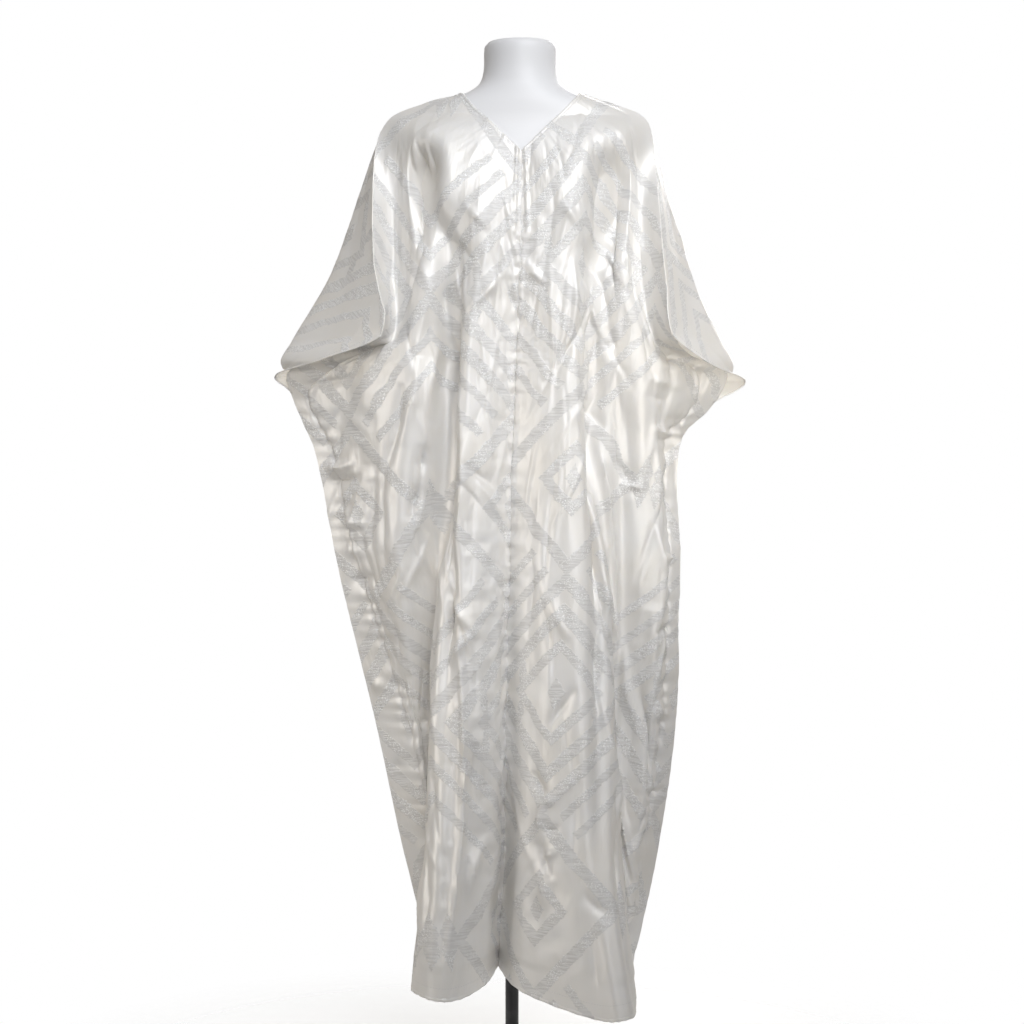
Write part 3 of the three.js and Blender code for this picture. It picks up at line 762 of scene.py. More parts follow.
def strip(path, inward, up, flat, inset):
    """A flattened tube along an edge: ellipses round its path, in the plane of inward and up, set
    in from it by inset. Returns points, faces of four and each point's place on the flat cut."""
    turn = np.linspace(0, 2 * np.pi, HEM_SIDES, endpoint=False)[None, :, None]
    inward, up = unit(inward), unit(up)
    ring = HEM_HALF_WIDE * np.cos(turn) * inward[:, None] + (
        HEM_HALF_THICK * np.sin(turn) * up[:, None]
    )
    count = len(path)
    swell = 1 + HEM_SWELL * np.sin(np.arange(count) * 1.7)[:, None, None]
    points = (path + inset * inward + HEM_RISE * up)[:, None] + ring * swell
    ids = np.arange(count * HEM_SIDES).reshape(count, HEM_SIDES)
    k = np.arange(HEM_SIDES // 2 - 1)
    start = np.stack([ids[0, k], ids[0, -1 - k], ids[0, -2 - k], ids[0, k + 1]], -1)
    end = np.stack([ids[-1, k], ids[-1, k + 1], ids[-1, -2 - k], ids[-1, -1 - k]], -1)
    faces = np.concatenate([tube(ids), start, end])
    return points.reshape(-1, 3), faces, np.repeat(flat, HEM_SIDES, axis=0)


STITCH_GAP, STITCH_LONG, STITCH_THICK = 4.6, 2.9, 0.42
STITCH_SIDES = 6
STITCH_ENDS = (-0.5, -0.28, 0.28, 0.5)  # its rings, as shares of its length
STITCH_FULL = (0.35, 1.0, 1.0, 0.35)  # and how thick it is at each
STITCH_FLAT, STITCH_TURN, STITCH_RISE = 0.7, 0.12, 0.15


def sew(path, up):
    """Stitches along a path: spindles of six sides, each lying along it and slightly turned.
    Returns points and faces of four."""
    run = np.concatenate([[0], np.cumsum(length(np.diff(path, axis=0)))])
    index = np.arange(len(path))
    at = np.interp(np.arange(STITCH_GAP, run[-1] - STITCH_GAP, STITCH_GAP), run, index)

    def along_path(values, at):
        return np.stack([np.interp(at, index, values[:, k]) for k in range(3)], -1)

    middle, n = along_path(path, at), unit(along_path(up, at))
    along = unit(along_path(path, at + 0.2) - middle)
    across = unit(np.cross(n, along))
    along = unit(along + STITCH_TURN * np.sin(np.arange(len(at)) * 2.1)[:, None] * across)
    turn = (np.arange(STITCH_SIDES) * np.pi / 3)[None, None, :, None]
    ring = np.cos(turn) * across[:, None, None] + STITCH_FLAT * np.sin(turn) * n[:, None, None]
    ends, full = (np.array(x)[None, :, None, None] for x in (STITCH_ENDS, STITCH_FULL))
    points = (middle + STITCH_RISE * n)[:, None, None] + ends * STITCH_LONG * along[:, None, None]
    points = points + full * STITCH_THICK * ring
    base = np.arange(4 * STITCH_SIDES).reshape(4, STITCH_SIDES)
    caps = base[0][[[0, 5, 4, 1], [1, 4, 3, 2]]], base[3][[[1, 4, 5, 0], [2, 3, 4, 1]]]
    faces = np.concatenate([tube(base), *caps])
    faces = (faces[None] + base.size * np.arange(len(at))[:, None, None]).reshape(-1, 4)
    return points.reshape(-1, 3), faces


def gather(parts):
    """Several (points, faces) or (points, faces, flat) as one."""
    points, faces, *flat = zip(*parts)
    shift = np.cumsum([0] + [len(p) for p in points])
    faces = [f + start for f, start in zip(faces, shift)]
    return [np.concatenate(arrays) for arrays in (points, faces, *flat)]


def form_mesh(name, segments):
    """The dress form, poles closed: rings at even steps between its sections, round an axis that
    leans. Each ring is half an oval in front and half another behind."""
    spans = zip(FORM["z"], FORM["z"][1:])
    z = [np.linspace(top, bottom, FORM_STEPS, endpoint=False) for top, bottom in spans]
    z = np.concatenate([*z, FORM["z"][-1:]])[::-1, None]
    side, front, back = (form_size(z, key) for key in ("side", "front", "back"))
    turn = np.linspace(0, 2 * np.pi, segments, endpoint=False)
    x = NECK_X * z / NECK_TOP + side * np.cos(turn)
    y = np.sin(turn) * np.where(np.sin(turn) < 0, front, back)
    points = np.stack([x, y, z + DATUM + 0 * x], -1).reshape(-1, 3) * MM
    ids = np.arange(x.size).reshape(x.shape)
    mesh = bpy.data.meshes.new(name)
    caps = [ids[0, ::-1].tolist(), ids[-1].tolist()]
    mesh.from_pydata(points.tolist(), [], tube(ids).tolist() + caps)
    mesh.set_sharp_from_angle(angle=math.radians(FORM_SHARP))
    return mesh


# ---- shader maths ----
class Sock:
    """A node socket that takes part in Python expressions; each operation adds its Math node."""

    def __init__(self, material, socket):
        self.material, self.socket = material, socket

    def _math(self, operation, *values):
        return self.material.node("ShaderNodeMath", {"operation": operation}, values)

    def __add__(self, other):
        return self._math("ADD", self, other)

    def __sub__(self, other):
        return self._math("SUBTRACT", self, other)

    def __rsub__(self, other):
        return self._math("SUBTRACT", other, self)

    def __mul__(self, other):
        return self._math("MULTIPLY", self, other)

    __radd__ = __add__
    __rmul__ = __mul__

    def abs(self):
        return self._math("ABSOLUTE", self)

    def max(self, other):
        return self._math("MAXIMUM", self, other)

    def fold(self, length):
        """Distance to the nearest multiple of length: a triangle wave from 0 to length / 2."""
        return self._math("PINGPONG", self, length / 2)

    def step(self, low, high):
        """0 below low, 1 above high, and a straight ramp between."""
        ramp = (self, low, high, 0.0, 1.0)
        return self.material.node("ShaderNodeMapRange", {"clamp": True}, ramp)

    def below(self, limit, soft):
        """1 where the value is below the limit, with a soft edge."""
        return 1 - self.step(limit - soft, limit + soft)


class Nodes:
    """The node tree of a material or a world, and a method that adds any node to it."""

    def __init__(self, data):
        self.data, self.tree = data, data.node_tree

    def link(self, value, socket):
        """Links a socket of an expression to a node's input, or sets the input to a number."""
        if isinstance(value, Sock):
            self.tree.links.new(value.socket, socket)
        else:
            socket.default_value = value

    def node(self, kind, settings=None, values=(), output=0):
        """Adds a node, sets its settings, then fills or links its input sockets."""
        made = self.tree.nodes.new(kind)
        for key, value in (settings or {}).items():
            setattr(made, key, value)
        for key, value in values.items() if isinstance(values, dict) else enumerate(values):
            self.link(value, made.inputs[key])
        return Sock(self, made.outputs[output]) if made.outputs else None


class Finish(Nodes):
    """A material being built on a Principled shader."""

    def __init__(self, name):
        data = bpy.data.materials.new(name)
        data.use_nodes = True
        super().__init__(data)
        self.shader = self.tree.nodes["Principled BSDF"]

    def mix(self, factor, first, second):
        """A colour between two colours."""
        ends = [end if isinstance(end, Sock) else (*end, 1.0) for end in (first, second)]
        values = {0: factor, 6: ends[0], 7: ends[1]}
        return self.node("ShaderNodeMix", {"data_type": "RGBA"}, values, 2)

    def noise(self, vector, scale, detail=2.0, roughness=0.5):
        values = {"Vector": vector, "Scale": scale, "Detail": detail, "Roughness": roughness}
        return self.node("ShaderNodeTexNoise", None, values)

    def place(self, vector, scale, turn=0.0):
        """A pattern's coordinates, scaled and turned about Z."""
        values = {"Vector": vector, "Scale": scale, "Rotation": (0, 0, turn)}
        return self.node("ShaderNodeMapping", None, values)

    def object_place(self):
        return self.node("ShaderNodeTexCoord", None, (), 3)

    def bump(self, strength, distance, height):
        """Relief in the light alone: a height, and the metres that a height of 1 stands for."""
        values = {"Strength": strength, "Distance": distance, "Height": height}
        self.set(Normal=self.node("ShaderNodeBump", None, values))

    def set(self, **sockets):
        """Sets or links sockets of the Principled shader, underscores standing for spaces."""
        for key, value in sockets.items():
            self.link(value, self.shader.inputs[key.replace("_", " ")])


# The brocade's repeat, in metres of flat cloth: mirrored across and down about its own axes.
REPEAT_U = 0.30
REPEAT_V = 0.66
BAND = 0.027
BAND_SLOPE = 1.1  # rise of the bands to their run
LARGE_RINGS = (0.062, 0.112, 0.160)  # where each band round a large diamond begins, down its axis
FAR_RINGS = (0.214, 0.268)  # bands farther out, drawn only between the small diamonds
SMALL_RING, OUTER_RING = 0.036, 0.122  # the same for a small diamond


def motif_mask(u, v):
    """1 in the woven figures. Down each axis stand large and small diamonds in turn, a small
    triangle in each. Bands nest round them and meet in chevrons, with leaves in between."""
    across = u.fold(REPEAT_U)
    down = v.fold(REPEAT_V)
    up = REPEAT_V / 2 - down
    between = REPEAT_U / 2 - across
    soft = 0.0008

    def band(distance, start, width=BAND):
        return distance.step(start - soft, start + soft) * distance.below(start + width, soft)

    large = across * BAND_SLOPE + down
    small = across * BAND_SLOPE + up
    figure = band(large, LARGE_RINGS[0], BAND * 0.8)
    for start in LARGE_RINGS[1:]:
        figure = figure.max(band(large, start))
    figure = figure.max(band(small, SMALL_RING, BAND * 0.85)).max(band(small, OUTER_RING))
    for height, at in ((down, 0.004), (up, 0.002)):
        triangle = (across * 1.9 + height).below(0.021 + at, soft)
        figure = figure.max(triangle)
    clear = small.step(OUTER_RING + BAND * 1.8, OUTER_RING + BAND * 1.9)
    for start in FAR_RINGS:
        figure = figure.max(band(large, start, BAND * 0.7) * clear)
    leaf = ((between - 0.012).abs() * 2.2 + (down - 0.318).abs() * 0.8).below(0.026, soft)
    spear = ((across - 0.062).abs() * 2.4 + (down - 0.03).abs() * 0.7).below(0.018, soft)
    return figure.max(leaf).max(spear)


def brocade(settings, name, shift):
    """Ivory satin with silver-grey weft figures and fine floats, and metal flecks whose white
    colour is a painted glint.
    """
    finish = Finish(name)
    cut = finish.node("ShaderNodeUVMap", {"uv_map": "cut"})
    parts = finish.node("ShaderNodeSeparateXYZ", None, (cut,)).socket.node
    wander = finish.noise(cut, 21.0, 1.0) - 0.5
    ragged = finish.noise(finish.place(cut, (30.0, 300.0, 1.0)), 1.0, 1.0) - 0.5
    u = Sock(finish, parts.outputs[0]) + wander * 0.010 + ragged * 0.008 + shift[0]
    v = Sock(finish, parts.outputs[1]) + wander * 0.012 + shift[1]
    mask = motif_mask(u, v)
    inside = finish.node("ShaderNodeAttribute", {"attribute_name": "inside"}, (), 2)

    floats = finish.noise(finish.place(cut, (38.0, 330.0, 1.0), 0.09), 1.0, 2.0, 0.55)
    hatch = floats.step(0.42, 0.56)
    warp = finish.noise(finish.place(cut, (1100.0, 60.0, 1.0)), 1.0) - 0.5
    cloudy = finish.noise(cut, 8.0, 3.0)
    drawn = finish.noise(finish.place(cut, (30.0, 6.5, 1.0), 0.12), 1.0, 3.0, 0.6) - 0.5
    crinkle = (1 - drawn.abs() * 9.0).max(0.0) * cloudy.step(0.36, 0.6)
    flecks = finish.node("ShaderNodeTexVoronoi", {"feature": "F1"}, {"Vector": cut, "Scale": 380.0})
    clusters = finish.noise(cut, 16.0).step(0.42, 0.56)
    # Metal flecks in the figures: real flecks, given a white colour that paints their glint.
    painted_glint_flecks = flecks.below(0.34, 0.08) * clusters * mask

    ground = finish.mix(cloudy.step(0.35, 0.7), settings.ground, settings.ground_shade)
    figure = finish.mix(hatch, settings.figure_dark, settings.figure_light)
    colour = finish.mix(mask, ground, figure)
    finish.set(
        Base_Color=finish.mix(painted_glint_flecks, colour, settings.painted_glint_flecks),
        Roughness=0.46 + mask * 0.08 - painted_glint_flecks * 0.30 + warp * 0.05,
        Metallic=0.21 - mask * 0.08 - painted_glint_flecks * 0.05,
        Specular_IOR_Level=0.5,
        Subsurface_Weight=0.12,
        Subsurface_Scale=0.002,
        Subsurface_Radius=(1.0, 0.9, 0.72),
        # Painted light: the inner face glows warm, standing for light that comes through the thin
        # cloth.
        Emission_Color=finish.mix(inside, (0, 0, 0), (1.0, 0.955, 0.87)),
        Emission_Strength=settings.glow,
    )
    relief = mask * (0.3 + hatch * 0.6) + warp * 0.14 + painted_glint_flecks * 0.8 + crinkle * 0.8
    finish.bump(0.55, 0.0008, relief)
    return finish.data


def thread(settings):
    """Matt ivory sewing thread."""
    finish = Finish("thread")
    twist = finish.noise(finish.place(finish.object_place(), (900.0, 900.0, 900.0)), 1.0, 1.0)
    colour = finish.mix(twist, settings.figure_dark, settings.figure_light)
    finish.set(Base_Color=colour, Roughness=0.6)
    return finish.data


def form_plastic(settings):
    """Smooth white plastic with a soft gloss and faint uneven polish."""
    finish = Finish("form_shell")
    place = finish.object_place()
    mottle = finish.noise(place, 9.0, 3.0)
    finish.set(
        Base_Color=finish.mix(mottle, settings.shell, settings.shell_shade),
        Roughness=0.40 + mottle * 0.12,
        Coat_Weight=0.08,
        Coat_Roughness=0.12,
    )
    finish.bump(0.06, 0.0006, finish.noise(place, 260.0))
    return finish.data


def stand_metal(settings):
    """Dark grey satin metal, brushed round the pole, a little worn."""
    finish = Finish("stand_metal")
    place = finish.object_place()
    brushed = finish.noise(finish.place(place, (30.0, 30.0, 900.0)), 1.0)
    worn = finish.noise(place, 24.0, 4.0).step(0.55, 0.75)
    finish.set(
        Base_Color=finish.mix(worn * 0.4 + brushed * 0.2, settings.metal, settings.metal_worn),
        Roughness=0.3 + brushed * 0.18,
        Metallic=0.9,
    )
    finish.bump(0.1, 0.0003, brushed)
    return finish.data


def pale_floor():
    """Matt near-white studio floor that fades into the backdrop."""
    finish = Finish("floor")
    far = finish.node("ShaderNodeVectorMath", {"operation": "LENGTH"}, (finish.object_place(),), 1)
    finish.set(
        Base_Color=(0.9, 0.9, 0.9, 1),
        Roughness=0.8,
        Alpha=1 - far.step(0.2, 0.85),
        Emission_Color=(1, 1, 1, 1),
        Emission_Strength=0.12,
    )
    return finish.data


def studio_world(world):
    """White to the camera, and to the pieces a soft warm light that is stronger from behind."""
    sky = Nodes(world)
    sky.tree.nodes.clear()
    way = sky.node("ShaderNodeTexCoord")
    y = sky.node("ShaderNodeSeparateXYZ", None, (way,), 1)
    behind = sky.node("ShaderNodeMapRange", {"interpolation_type": "SMOOTHSTEP"}, (y, *SKY_FADE))
    lit = sky.node("ShaderNodeBackground", None, (SKY_COLOUR, behind))
    seen = sky.node("ShaderNodeBackground", None, ((1, 1, 1, 1), 1.0))
    camera_ray = sky.node("ShaderNodeLightPath")
    mixed = sky.node("ShaderNodeMixShader", None, (camera_ray, lit, seen))
    sky.node("ShaderNodeOutputWorld", None, (mixed,))


# ---- studio ----
FLOOR = 3.0  # half the floor's side
SKY_COLOUR = (1.0, 0.952, 0.89, 1)
SKY_FADE = (-0.3, 0.7, 0.06, 0.55)  # Y of a direction from and to, and the light's strength at each
CAMERA_PLACE = (0, -3.5, 0.89)
SENSOR, FOCAL_WIDTHS = 36, 2208 / 1024  # sensor in mm, and the focal length in widths of the view
# Each light's name, place, what it is aimed at, size, power, spread in degrees, and colour.
LIGHTS = (
    ("key", (0.6, -1.7, 2.85), (0, 0, 1.42), 1.8, 8.0, 60, (0.945, 0.965, 1.0)),
    ("near_fill", (0.25, -3.6, 1.9), (0, 0, 1.45), 1.2, 1.8, 46, (0.97, 0.985, 1.0)),
    ("left_fill", (-2.3, -1.5, 0.9), (-0.2, 0, 0.65), 0.9, 1.9, 50, (1.0, 0.95, 0.88)),
    ("right_fill", (2.2, -1.9, 1.5), (0, 0, 1.0), 0.8, 1.4, 62, (1.0, 0.97, 0.935)),
    ("right_card", (0.9, -1.6, 0.35), (0.34, -0.05, 1.08), 0.3, 0.26, 28, (1.0, 0.95, 0.86)),
    ("low_fill", (0.35, -3.4, 0.85), (0, 0, 0.78), 0.7, 0.50, 36, (0.97, 0.98, 1.0)),
    ("back_fill", (0.8, 2.8, 2.3), (0, 0, 1.1), 1.8, 80, 180, (1, 1, 1)),
)


# ---- settings ----
def tint(name, description, *default):
    """A colour that can be changed, as a property."""
    return FloatVectorProperty(
        name=name, description=description, default=default, size=3, subtype="COLOR"
    )


class ClothSettings(bpy.types.PropertyGroup):
    thickness: FloatProperty(
        name="Thickness", description="Thickness of the shown cloth", default=0.0011, unit="LENGTH"
    )
    crumple: FloatProperty(
        name="Crumple", description="Height of the crisp silk's crumples", default=1.0, min=0,
        subtype="FACTOR",
    )
    fullness: FloatProperty(
        name="Fullness", description="How much larger the cloth is than the shape it lies on",
        default=0.03, min=0, subtype="FACTOR",
    )
    ground: tint("Satin", "Ivory of the satin ground", 0.85, 0.838, 0.82)
    ground_shade: tint("Satin shade", "Warmer drifts in the satin", 0.815, 0.79, 0.75)
    figure_dark: tint("Float shade", "Grey between the weft floats", 0.68, 0.67, 0.658)
    figure_light: tint("Float light", "Silver of the weft floats", 0.765, 0.757, 0.745)
    # The flecks' white: a painted glint on the metal flecks.
    painted_glint_flecks: tint("Flecks", "Metal flecks in the figures", 1.0, 1.0, 0.99)
    glow: FloatProperty(
        name="Glow", description="Light that comes through the thin cloth, seen on its inner side",
        default=0.2, min=0, subtype="FACTOR",
    )


class StandSettings(bpy.types.PropertyGroup):
    shell: tint("Shell", "White of the dress form", 0.81, 0.81, 0.82)
    shell_shade: tint("Shell shade", "Slight mottle of the form", 0.775, 0.775, 0.79)
    metal: tint("Metal", "Dark grey of the stand", 0.06, 0.061, 0.064)
    metal_worn: tint("Worn metal", "Lighter worn places", 0.16, 0.16, 0.16)
    segments: IntProperty(
        name="Segments", description="Points round the form", default=FORM_SEGMENTS, min=16, max=512
    )


# ---- the hung garment ----
def seam_lift(u):
    """The centre seam: one raised puckered line, doubled along the closed slit at its top."""
    slit = np.clip((SLIT_END - ROW) / 6, 0, 1)[:, None]
    lumps = 1 + 0.45 * np.sin(ROW / 3.6 + 2 * np.sin(ROW / 17))[:, None]
    one = np.exp(-((u / SEAM_WIDTH) ** 2))
    two = np.exp(-(((np.abs(u) - SLIT_HALF) / (0.6 * SEAM_WIDTH)) ** 2))
    tucks = np.sin(ROW / 4.4 + 3 * np.sin(ROW / 29))[:, None] * np.exp(-np.abs(u) / 11)
    return SEAM_RIDGE * lumps * (one * (1 - slit) + 1.1 * two * slit) + 0.55 * PUCKER * tucks


def stitch_lift(away):
    """The side stitching: a shallow groove with puckers fanning out on both sides of it."""
    tucks = np.sin(ROW / 4.1 + 2.4 * np.sin(ROW / 23)) + 0.6 * np.sin(ROW / 9.7 + 1)
    groove = GROOVE * np.exp(-((away / GROOVE_WIDTH) ** 2))
    return PUCKER * tucks[:, None] * np.exp(-np.abs(away) / 17) - groove


def held_edges(shape, columns_held):
    """How strongly each point keeps to its goal: 1 in the open cloth and more at the edges."""
    stay = np.ones(shape)
    stay[:, columns_held] = HELD
    stay[-HEM_ROWS:] = HELD_HEM
    return stay


def hung_front(surface, outward, part, seed, cut, settings):
    """A front with its crumples, lobes, creases, hollows and seams, let buckle."""
    n = normals(surface, outward)
    u, v = cut[..., 0], cut[..., 1]
    last = surface.shape[1]
    column = np.arange(last)
    away = u - u[:, -1 - FLANGE, None]
    below = np.clip((ROW - PLACE[FOLD_END]) / STITCH_FADE, 0, 1)[:, None]
    begin = np.clip((ROW - LOBE_START[0]) / (LOBE_START[1] - LOBE_START[0]), 0, 1)[:, None]
    inner = np.clip((SIDE_COLUMN + 10 - column) / 16, 0, 1)
    outer = (1 - inner) * np.clip((last - 5 - column) / 12, 0, 1)
    calm = CALM + (1 - CALM) * np.clip((CALM_ABOVE - surface[..., 2]) / CALM_OVER, 0, 1)
    lift = settings.crumple * FRONT_CRUMPLE * crumple(u, v, seed)
    lift += LOBE_OUT * begin / (1 + ((column - LOBE_COLUMN) / LOBE_WIDTH) ** 4)
    lift += settings.crumple * calm * scattered(u, v, seed + 2, FRONT_FAN)
    inside, outside = slice(4, SIDE_COLUMN + 8), slice(SIDE_COLUMN - 6, last - 3)
    for name, cols, share in ((part, inside, inner), (part + "S", outside, outer)):
        lift += CREASE_SCALE * add_creases(surface, n, name, cols)
        lift += add_hollows(surface, name) * share
    lift += stitch_lift(away) * below + seam_lift(u)
    goal = clear_of_form(surface + n * lift[..., None])
    pinned = np.zeros(u.shape, bool)
    pinned[0] = pinned[:, 0] = pinned[JOINED, -1] = True
    near_seam = np.exp(-np.abs(u) / 55)
    near_side = np.exp(-np.abs(away) / 45) * below
    patch = np.clip(0.35 + 0.9 * waves(u, v, 90, 150, seed + 7), 0, 1)
    grow_across = settings.fullness * calm * (0.35 + 1.6 * patch)
    grow_down = settings.fullness * calm * (0.40 * patch + 0.3 * near_seam + 0.4 * near_side)
    stay = held_edges(u.shape, column > last - FLANGE - 4)
    return clear_of_form(settle(goal, n, pinned, grow_across, grow_down, seed, stay))


def hung_back(surface, cut, fronts, settings):
    """The back with its crumples, its edges laid on the fronts' (hung and bare), let buckle."""
    u, v = cut[..., 0], cut[..., 1]
    n = normals(surface, 1)
    column = np.arange(surface.shape[1])
    from_edge = np.minimum(column, column[::-1])
    lift = settings.crumple * (crumple(u, v, 37) + scattered(u, v, 41, BACK_FAN))
    goal = surface + n * (lift * np.clip(from_edge / (FLANGE + 12), 0, 1))[..., None]
    pinned = np.zeros(u.shape, bool)
    pinned[0] = True
    fade = (1 - np.arange(1, FOLLOWS + 1) / (FOLLOWS + 1))[None, :, None]
    for flip, (hung, bare) in zip((1, -1), fronts):
        view, fixed = goal[:, ::flip], pinned[:, ::flip]
        view[JOINED, 0] = hung[JOINED, -1]
        fixed[JOINED, 0] = True
        view[SEWN, :FLANGE + 1] = hung[SEWN, :-FLANGE - 2:-1]
        fixed[SEWN, :FLANGE + 1] = True
        shift = (hung[:, -1 - FLANGE] - bare[:, -1 - FLANGE])[:, None]
        view[SEWN, FLANGE + 1:FLANGE + 1 + FOLLOWS] += (shift * fade)[SEWN]
    goal = clear_of_form(goal)
    patch = np.clip(0.35 + 0.9 * waves(u, v, 100, 170, 44), 0, 1)
    grow_across = settings.fullness * (0.35 + 1.6 * patch)
    grow_down = settings.fullness * 0.45 * patch
    stay = held_edges(u.shape, from_edge < FLANGE + 4)
    return clear_of_form(settle(goal, n, pinned, grow_across, grow_down, 5, stay))


def garment(settings):
    """The three pieces, creased and let buckle: name, surface in mm, outward and flat cut."""
    fronts, cuts, halves = [], [], []
    for part, outward, seed, front_text, hem, back_text in (
        ("R", 1, 11, FRONT_RIGHT, HEM_RIGHT, BACK_RIGHT),
        ("L", -1, 23, FRONT_LEFT, HEM_LEFT, BACK_LEFT),
    ):
        bare = front_surface(front_text, hem, -outward)
        cuts.append(cut_of(bare, 0))
        fronts.append((hung_front(bare, outward, part, seed, cuts[-1], settings), bare))
        halves.append(back_half_surface(back_text, -outward, bare))
    right, left = (hung for hung, _ in fronts)
    right[:, 0] = left[:, 0] = 0.5 * (right[:, 0] + left[:, 0])
    back = np.concatenate([halves[0], halves[1][:, ::-1][:, 1:]], axis=1)
    cuts.append(cut_of(back, halves[0].shape[1] - 1))
    surfaces = (right, left, hung_back(back, cuts[-1], fronts, settings))
    return zip(("front_right", "front_left", "back"), surfaces, (1, -1, 1), cuts)


MADE = {}  # the garment's pieces, filled by the cloth's operator, read by the hems' and stitches'


def edges(name):
    """Each open edge of a piece, and the centre seam on one: its path, the way in from it, its
    normals, its flat coordinates and how far in the rolled edge lies."""
    surface, n, flat = (MADE[name][key] for key in ("surface", "normals", "flat"))
    found = [
        (surface[0], surface[1] - surface[0], n[0], flat[0], HEM_INSET),
        (surface[-1], surface[-2] - surface[-1], n[-1], flat[-1], HEM_INSET),
    ]
    if name == "front_right":
        seam = ROW > SLIT_END
        path = surface[seam, 0] + SEAM_LIFT * n[seam, 0]
        found.append((path, surface[seam, 1] - surface[seam, 0], n[seam, 0], flat[seam, 0], 0))
    for column, beside in ((-1, -2), (0, 1)) if name == "back" else ((-1, -2),):
        path = surface[CUFF, column]
        way_in = surface[CUFF, beside] - path
        found.append((path, way_in, n[CUFF, column], flat[CUFF, column], HEM_INSET))
    return found


# ---- operators ----
class KAFTAN_OT_cloth(bpy.types.Operator):
    """Make the two fronts and the back as thin walls of brocade"""

    bl_idname = "kaftan.cloth"
    bl_label = "Cloth"

    def execute(self, context):
        settings = context.scene.kaftan_cloth
        for name, surface, outward, flat in garment(settings):
            material = brocade(settings, "brocade_" + name, PATTERN_SHIFT[name])
            n = normals(surface, outward)
            mesh = wall_mesh(name + "_cloth", surface, n, outward, settings.thickness / MM, flat)
            piece = add_object(name + "_cloth", mesh, material)
            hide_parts(name)
            MADE[name] = {
                "surface": surface, "normals": n, "flat": flat, "piece": piece, "material": material
            }
        return {"FINISHED"}


class KAFTAN_OT_hems(bpy.types.Operator):
    """Roll the narrow hems at the neck, the cuffs and the lower edge"""

    bl_idname = "kaftan.hems"
    bl_label = "Hems"

    def execute(self, context):
        for name, made in MADE.items():
            strips = [strip(*edge) for edge in edges(name)]
            mesh = closed_mesh(name + "_hems", *gather(strips))
            made["hems"] = add_object(name + "_hems", mesh, made["material"])
        return {"FINISHED"}


class KAFTAN_OT_stitches(bpy.types.Operator):
    """Sew the side seams and the hems"""

    bl_idname = "kaftan.stitches"
    bl_label = "Stitches"

    def execute(self, context):
        settings = context.scene.kaftan_cloth
        material = thread(settings)
        for name, made in MADE.items():
            n = made["normals"]
            top = made["surface"] + n * settings.thickness / MM
            places = [HEM_STITCH_ROW, NECK_STITCH_ROW]
            for side in (-1, 0) if name == "back" else (-1,):
                inside = FLANGE if side == 0 else -1 - FLANGE
                near = CUFF_STITCH_COLUMN if side == 0 else -1 - CUFF_STITCH_COLUMN
                places += [(SEWN, inside), (CUFF, near)]
            mesh = closed_mesh(name + "_stitches", *gather([sew(top[at], n[at]) for at in places]))
            made["stitches"] = add_object(name + "_stitches", mesh, material)
        for name, made in MADE.items():
            flat = made["flat"]
            one, two = flat[1:, 1:] - flat[:-1, :-1], flat[1:, :-1] - flat[:-1, 1:]
            cells = np.abs(one[..., 0] * two[..., 1] - one[..., 1] * two[..., 0])
        return {"FINISHED"}


class KAFTAN_OT_form(bpy.types.Operator):
    """Make the smooth white dress form"""

    bl_idname = "kaftan.form"
    bl_label = "Dress form"

    def execute(self, context):
        settings = context.scene.kaftan_stand
        mesh = form_mesh("form_body_smooth", settings.segments)
        piece = add_object("form_body_smooth", mesh, form_plastic(settings))
        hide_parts("form_body")
        return {"FINISHED"}


class KAFTAN_OT_stand(bpy.types.Operator):
    """Finish the pole, its collar and the round foot in dark metal"""

    bl_idname = "kaftan.stand"
    bl_label = "Stand"

    def execute(self, context):
        material = stand_metal(context.scene.kaftan_stand)
        for node in ("stand_foot", "stand_pole", "stand_collar"):
            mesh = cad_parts[node].data
            mesh.materials.clear()
            mesh.materials.append(material)
        return {"FINISHED"}


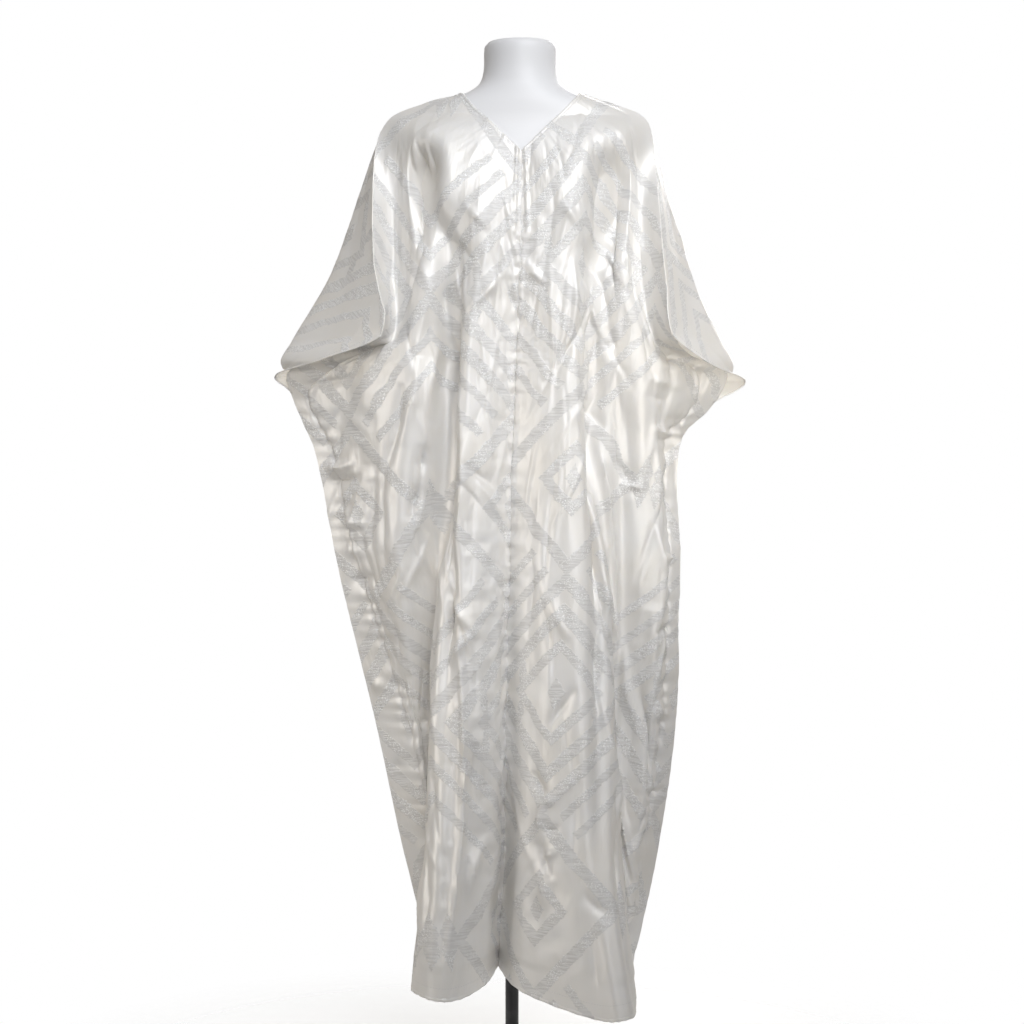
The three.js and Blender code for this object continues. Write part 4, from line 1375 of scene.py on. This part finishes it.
class KAFTAN_OT_studio(bpy.types.Operator):
    """Set the pale floor, the soft lights and the camera"""

    bl_idname = "kaftan.studio"
    bl_label = "Studio"

    def execute(self, context):
        scene = context.scene
        floor = bpy.data.meshes.new("floor")
        corners = [(x * FLOOR, y * FLOOR, 0) for x, y in ((-1, -1), (1, -1), (1, 1), (-1, 1))]
        floor.from_pydata(corners, [], [(0, 1, 2, 3)])
        floor.materials.append(pale_floor())
        piece = bpy.data.objects.new("floor", floor)
        scene.collection.objects.link(piece)

        scene.world = bpy.data.worlds.new("studio")
        scene.world.use_nodes = True
        studio_world(scene.world)
        for name, place, aim, size, energy, spread, colour in LIGHTS:
            light = bpy.data.lights.new(name, "AREA")
            light.spread = math.radians(spread)
            light.shape, light.size, light.energy, light.color = "SQUARE", size, energy, colour
            lamp = bpy.data.objects.new(name, light)
            x, y, z = (b - a for a, b in zip(place, aim))
            lamp.location = place
            tilt, turn = math.atan2(math.hypot(x, y), -z), math.atan2(y, x) - math.pi / 2
            lamp.rotation_euler = (tilt, 0, turn)
            scene.collection.objects.link(lamp)

        camera = bpy.data.cameras.new("camera")
        camera.sensor_width = SENSOR
        camera.lens = SENSOR * FOCAL_WIDTHS
        body = bpy.data.objects.new("camera", camera)
        body.location = CAMERA_PLACE
        body.rotation_euler = (math.pi / 2, 0, 0)
        scene.collection.objects.link(body)
        scene.camera = body
        scene.view_settings.view_transform = "Standard"
        return {"FINISHED"}


class KAFTAN_PT_panel(bpy.types.Panel):
    """The kaftan's steps in order"""

    bl_idname = "KAFTAN_PT_panel"
    bl_label = "Kaftan"
    bl_space_type = "VIEW_3D"
    bl_region_type = "UI"
    bl_category = "Kaftan"

    def draw(self, context):
        for step in STEPS:
            self.layout.operator(step.bl_idname)


STEPS = (
    KAFTAN_OT_studio, KAFTAN_OT_form, KAFTAN_OT_stand,
    KAFTAN_OT_cloth, KAFTAN_OT_hems, KAFTAN_OT_stitches,
)
CLASSES = (ClothSettings, StandSettings, *STEPS, KAFTAN_PT_panel)


def register():
    for cls in CLASSES:
        bpy.utils.register_class(cls)
    bpy.types.Scene.kaftan_cloth = PointerProperty(type=ClothSettings)
    bpy.types.Scene.kaftan_stand = PointerProperty(type=StandSettings)


def unregister():
    del bpy.types.Scene.kaftan_stand
    del bpy.types.Scene.kaftan_cloth
    for cls in reversed(CLASSES):
        bpy.utils.unregister_class(cls)


def main():
    register()
    bpy.ops.kaftan.studio()
    bpy.ops.kaftan.form()
    bpy.ops.kaftan.stand()
    bpy.ops.kaftan.cloth()
    bpy.ops.kaftan.hems()
    bpy.ops.kaftan.stitches()


if __name__ == "__main__":
    main()
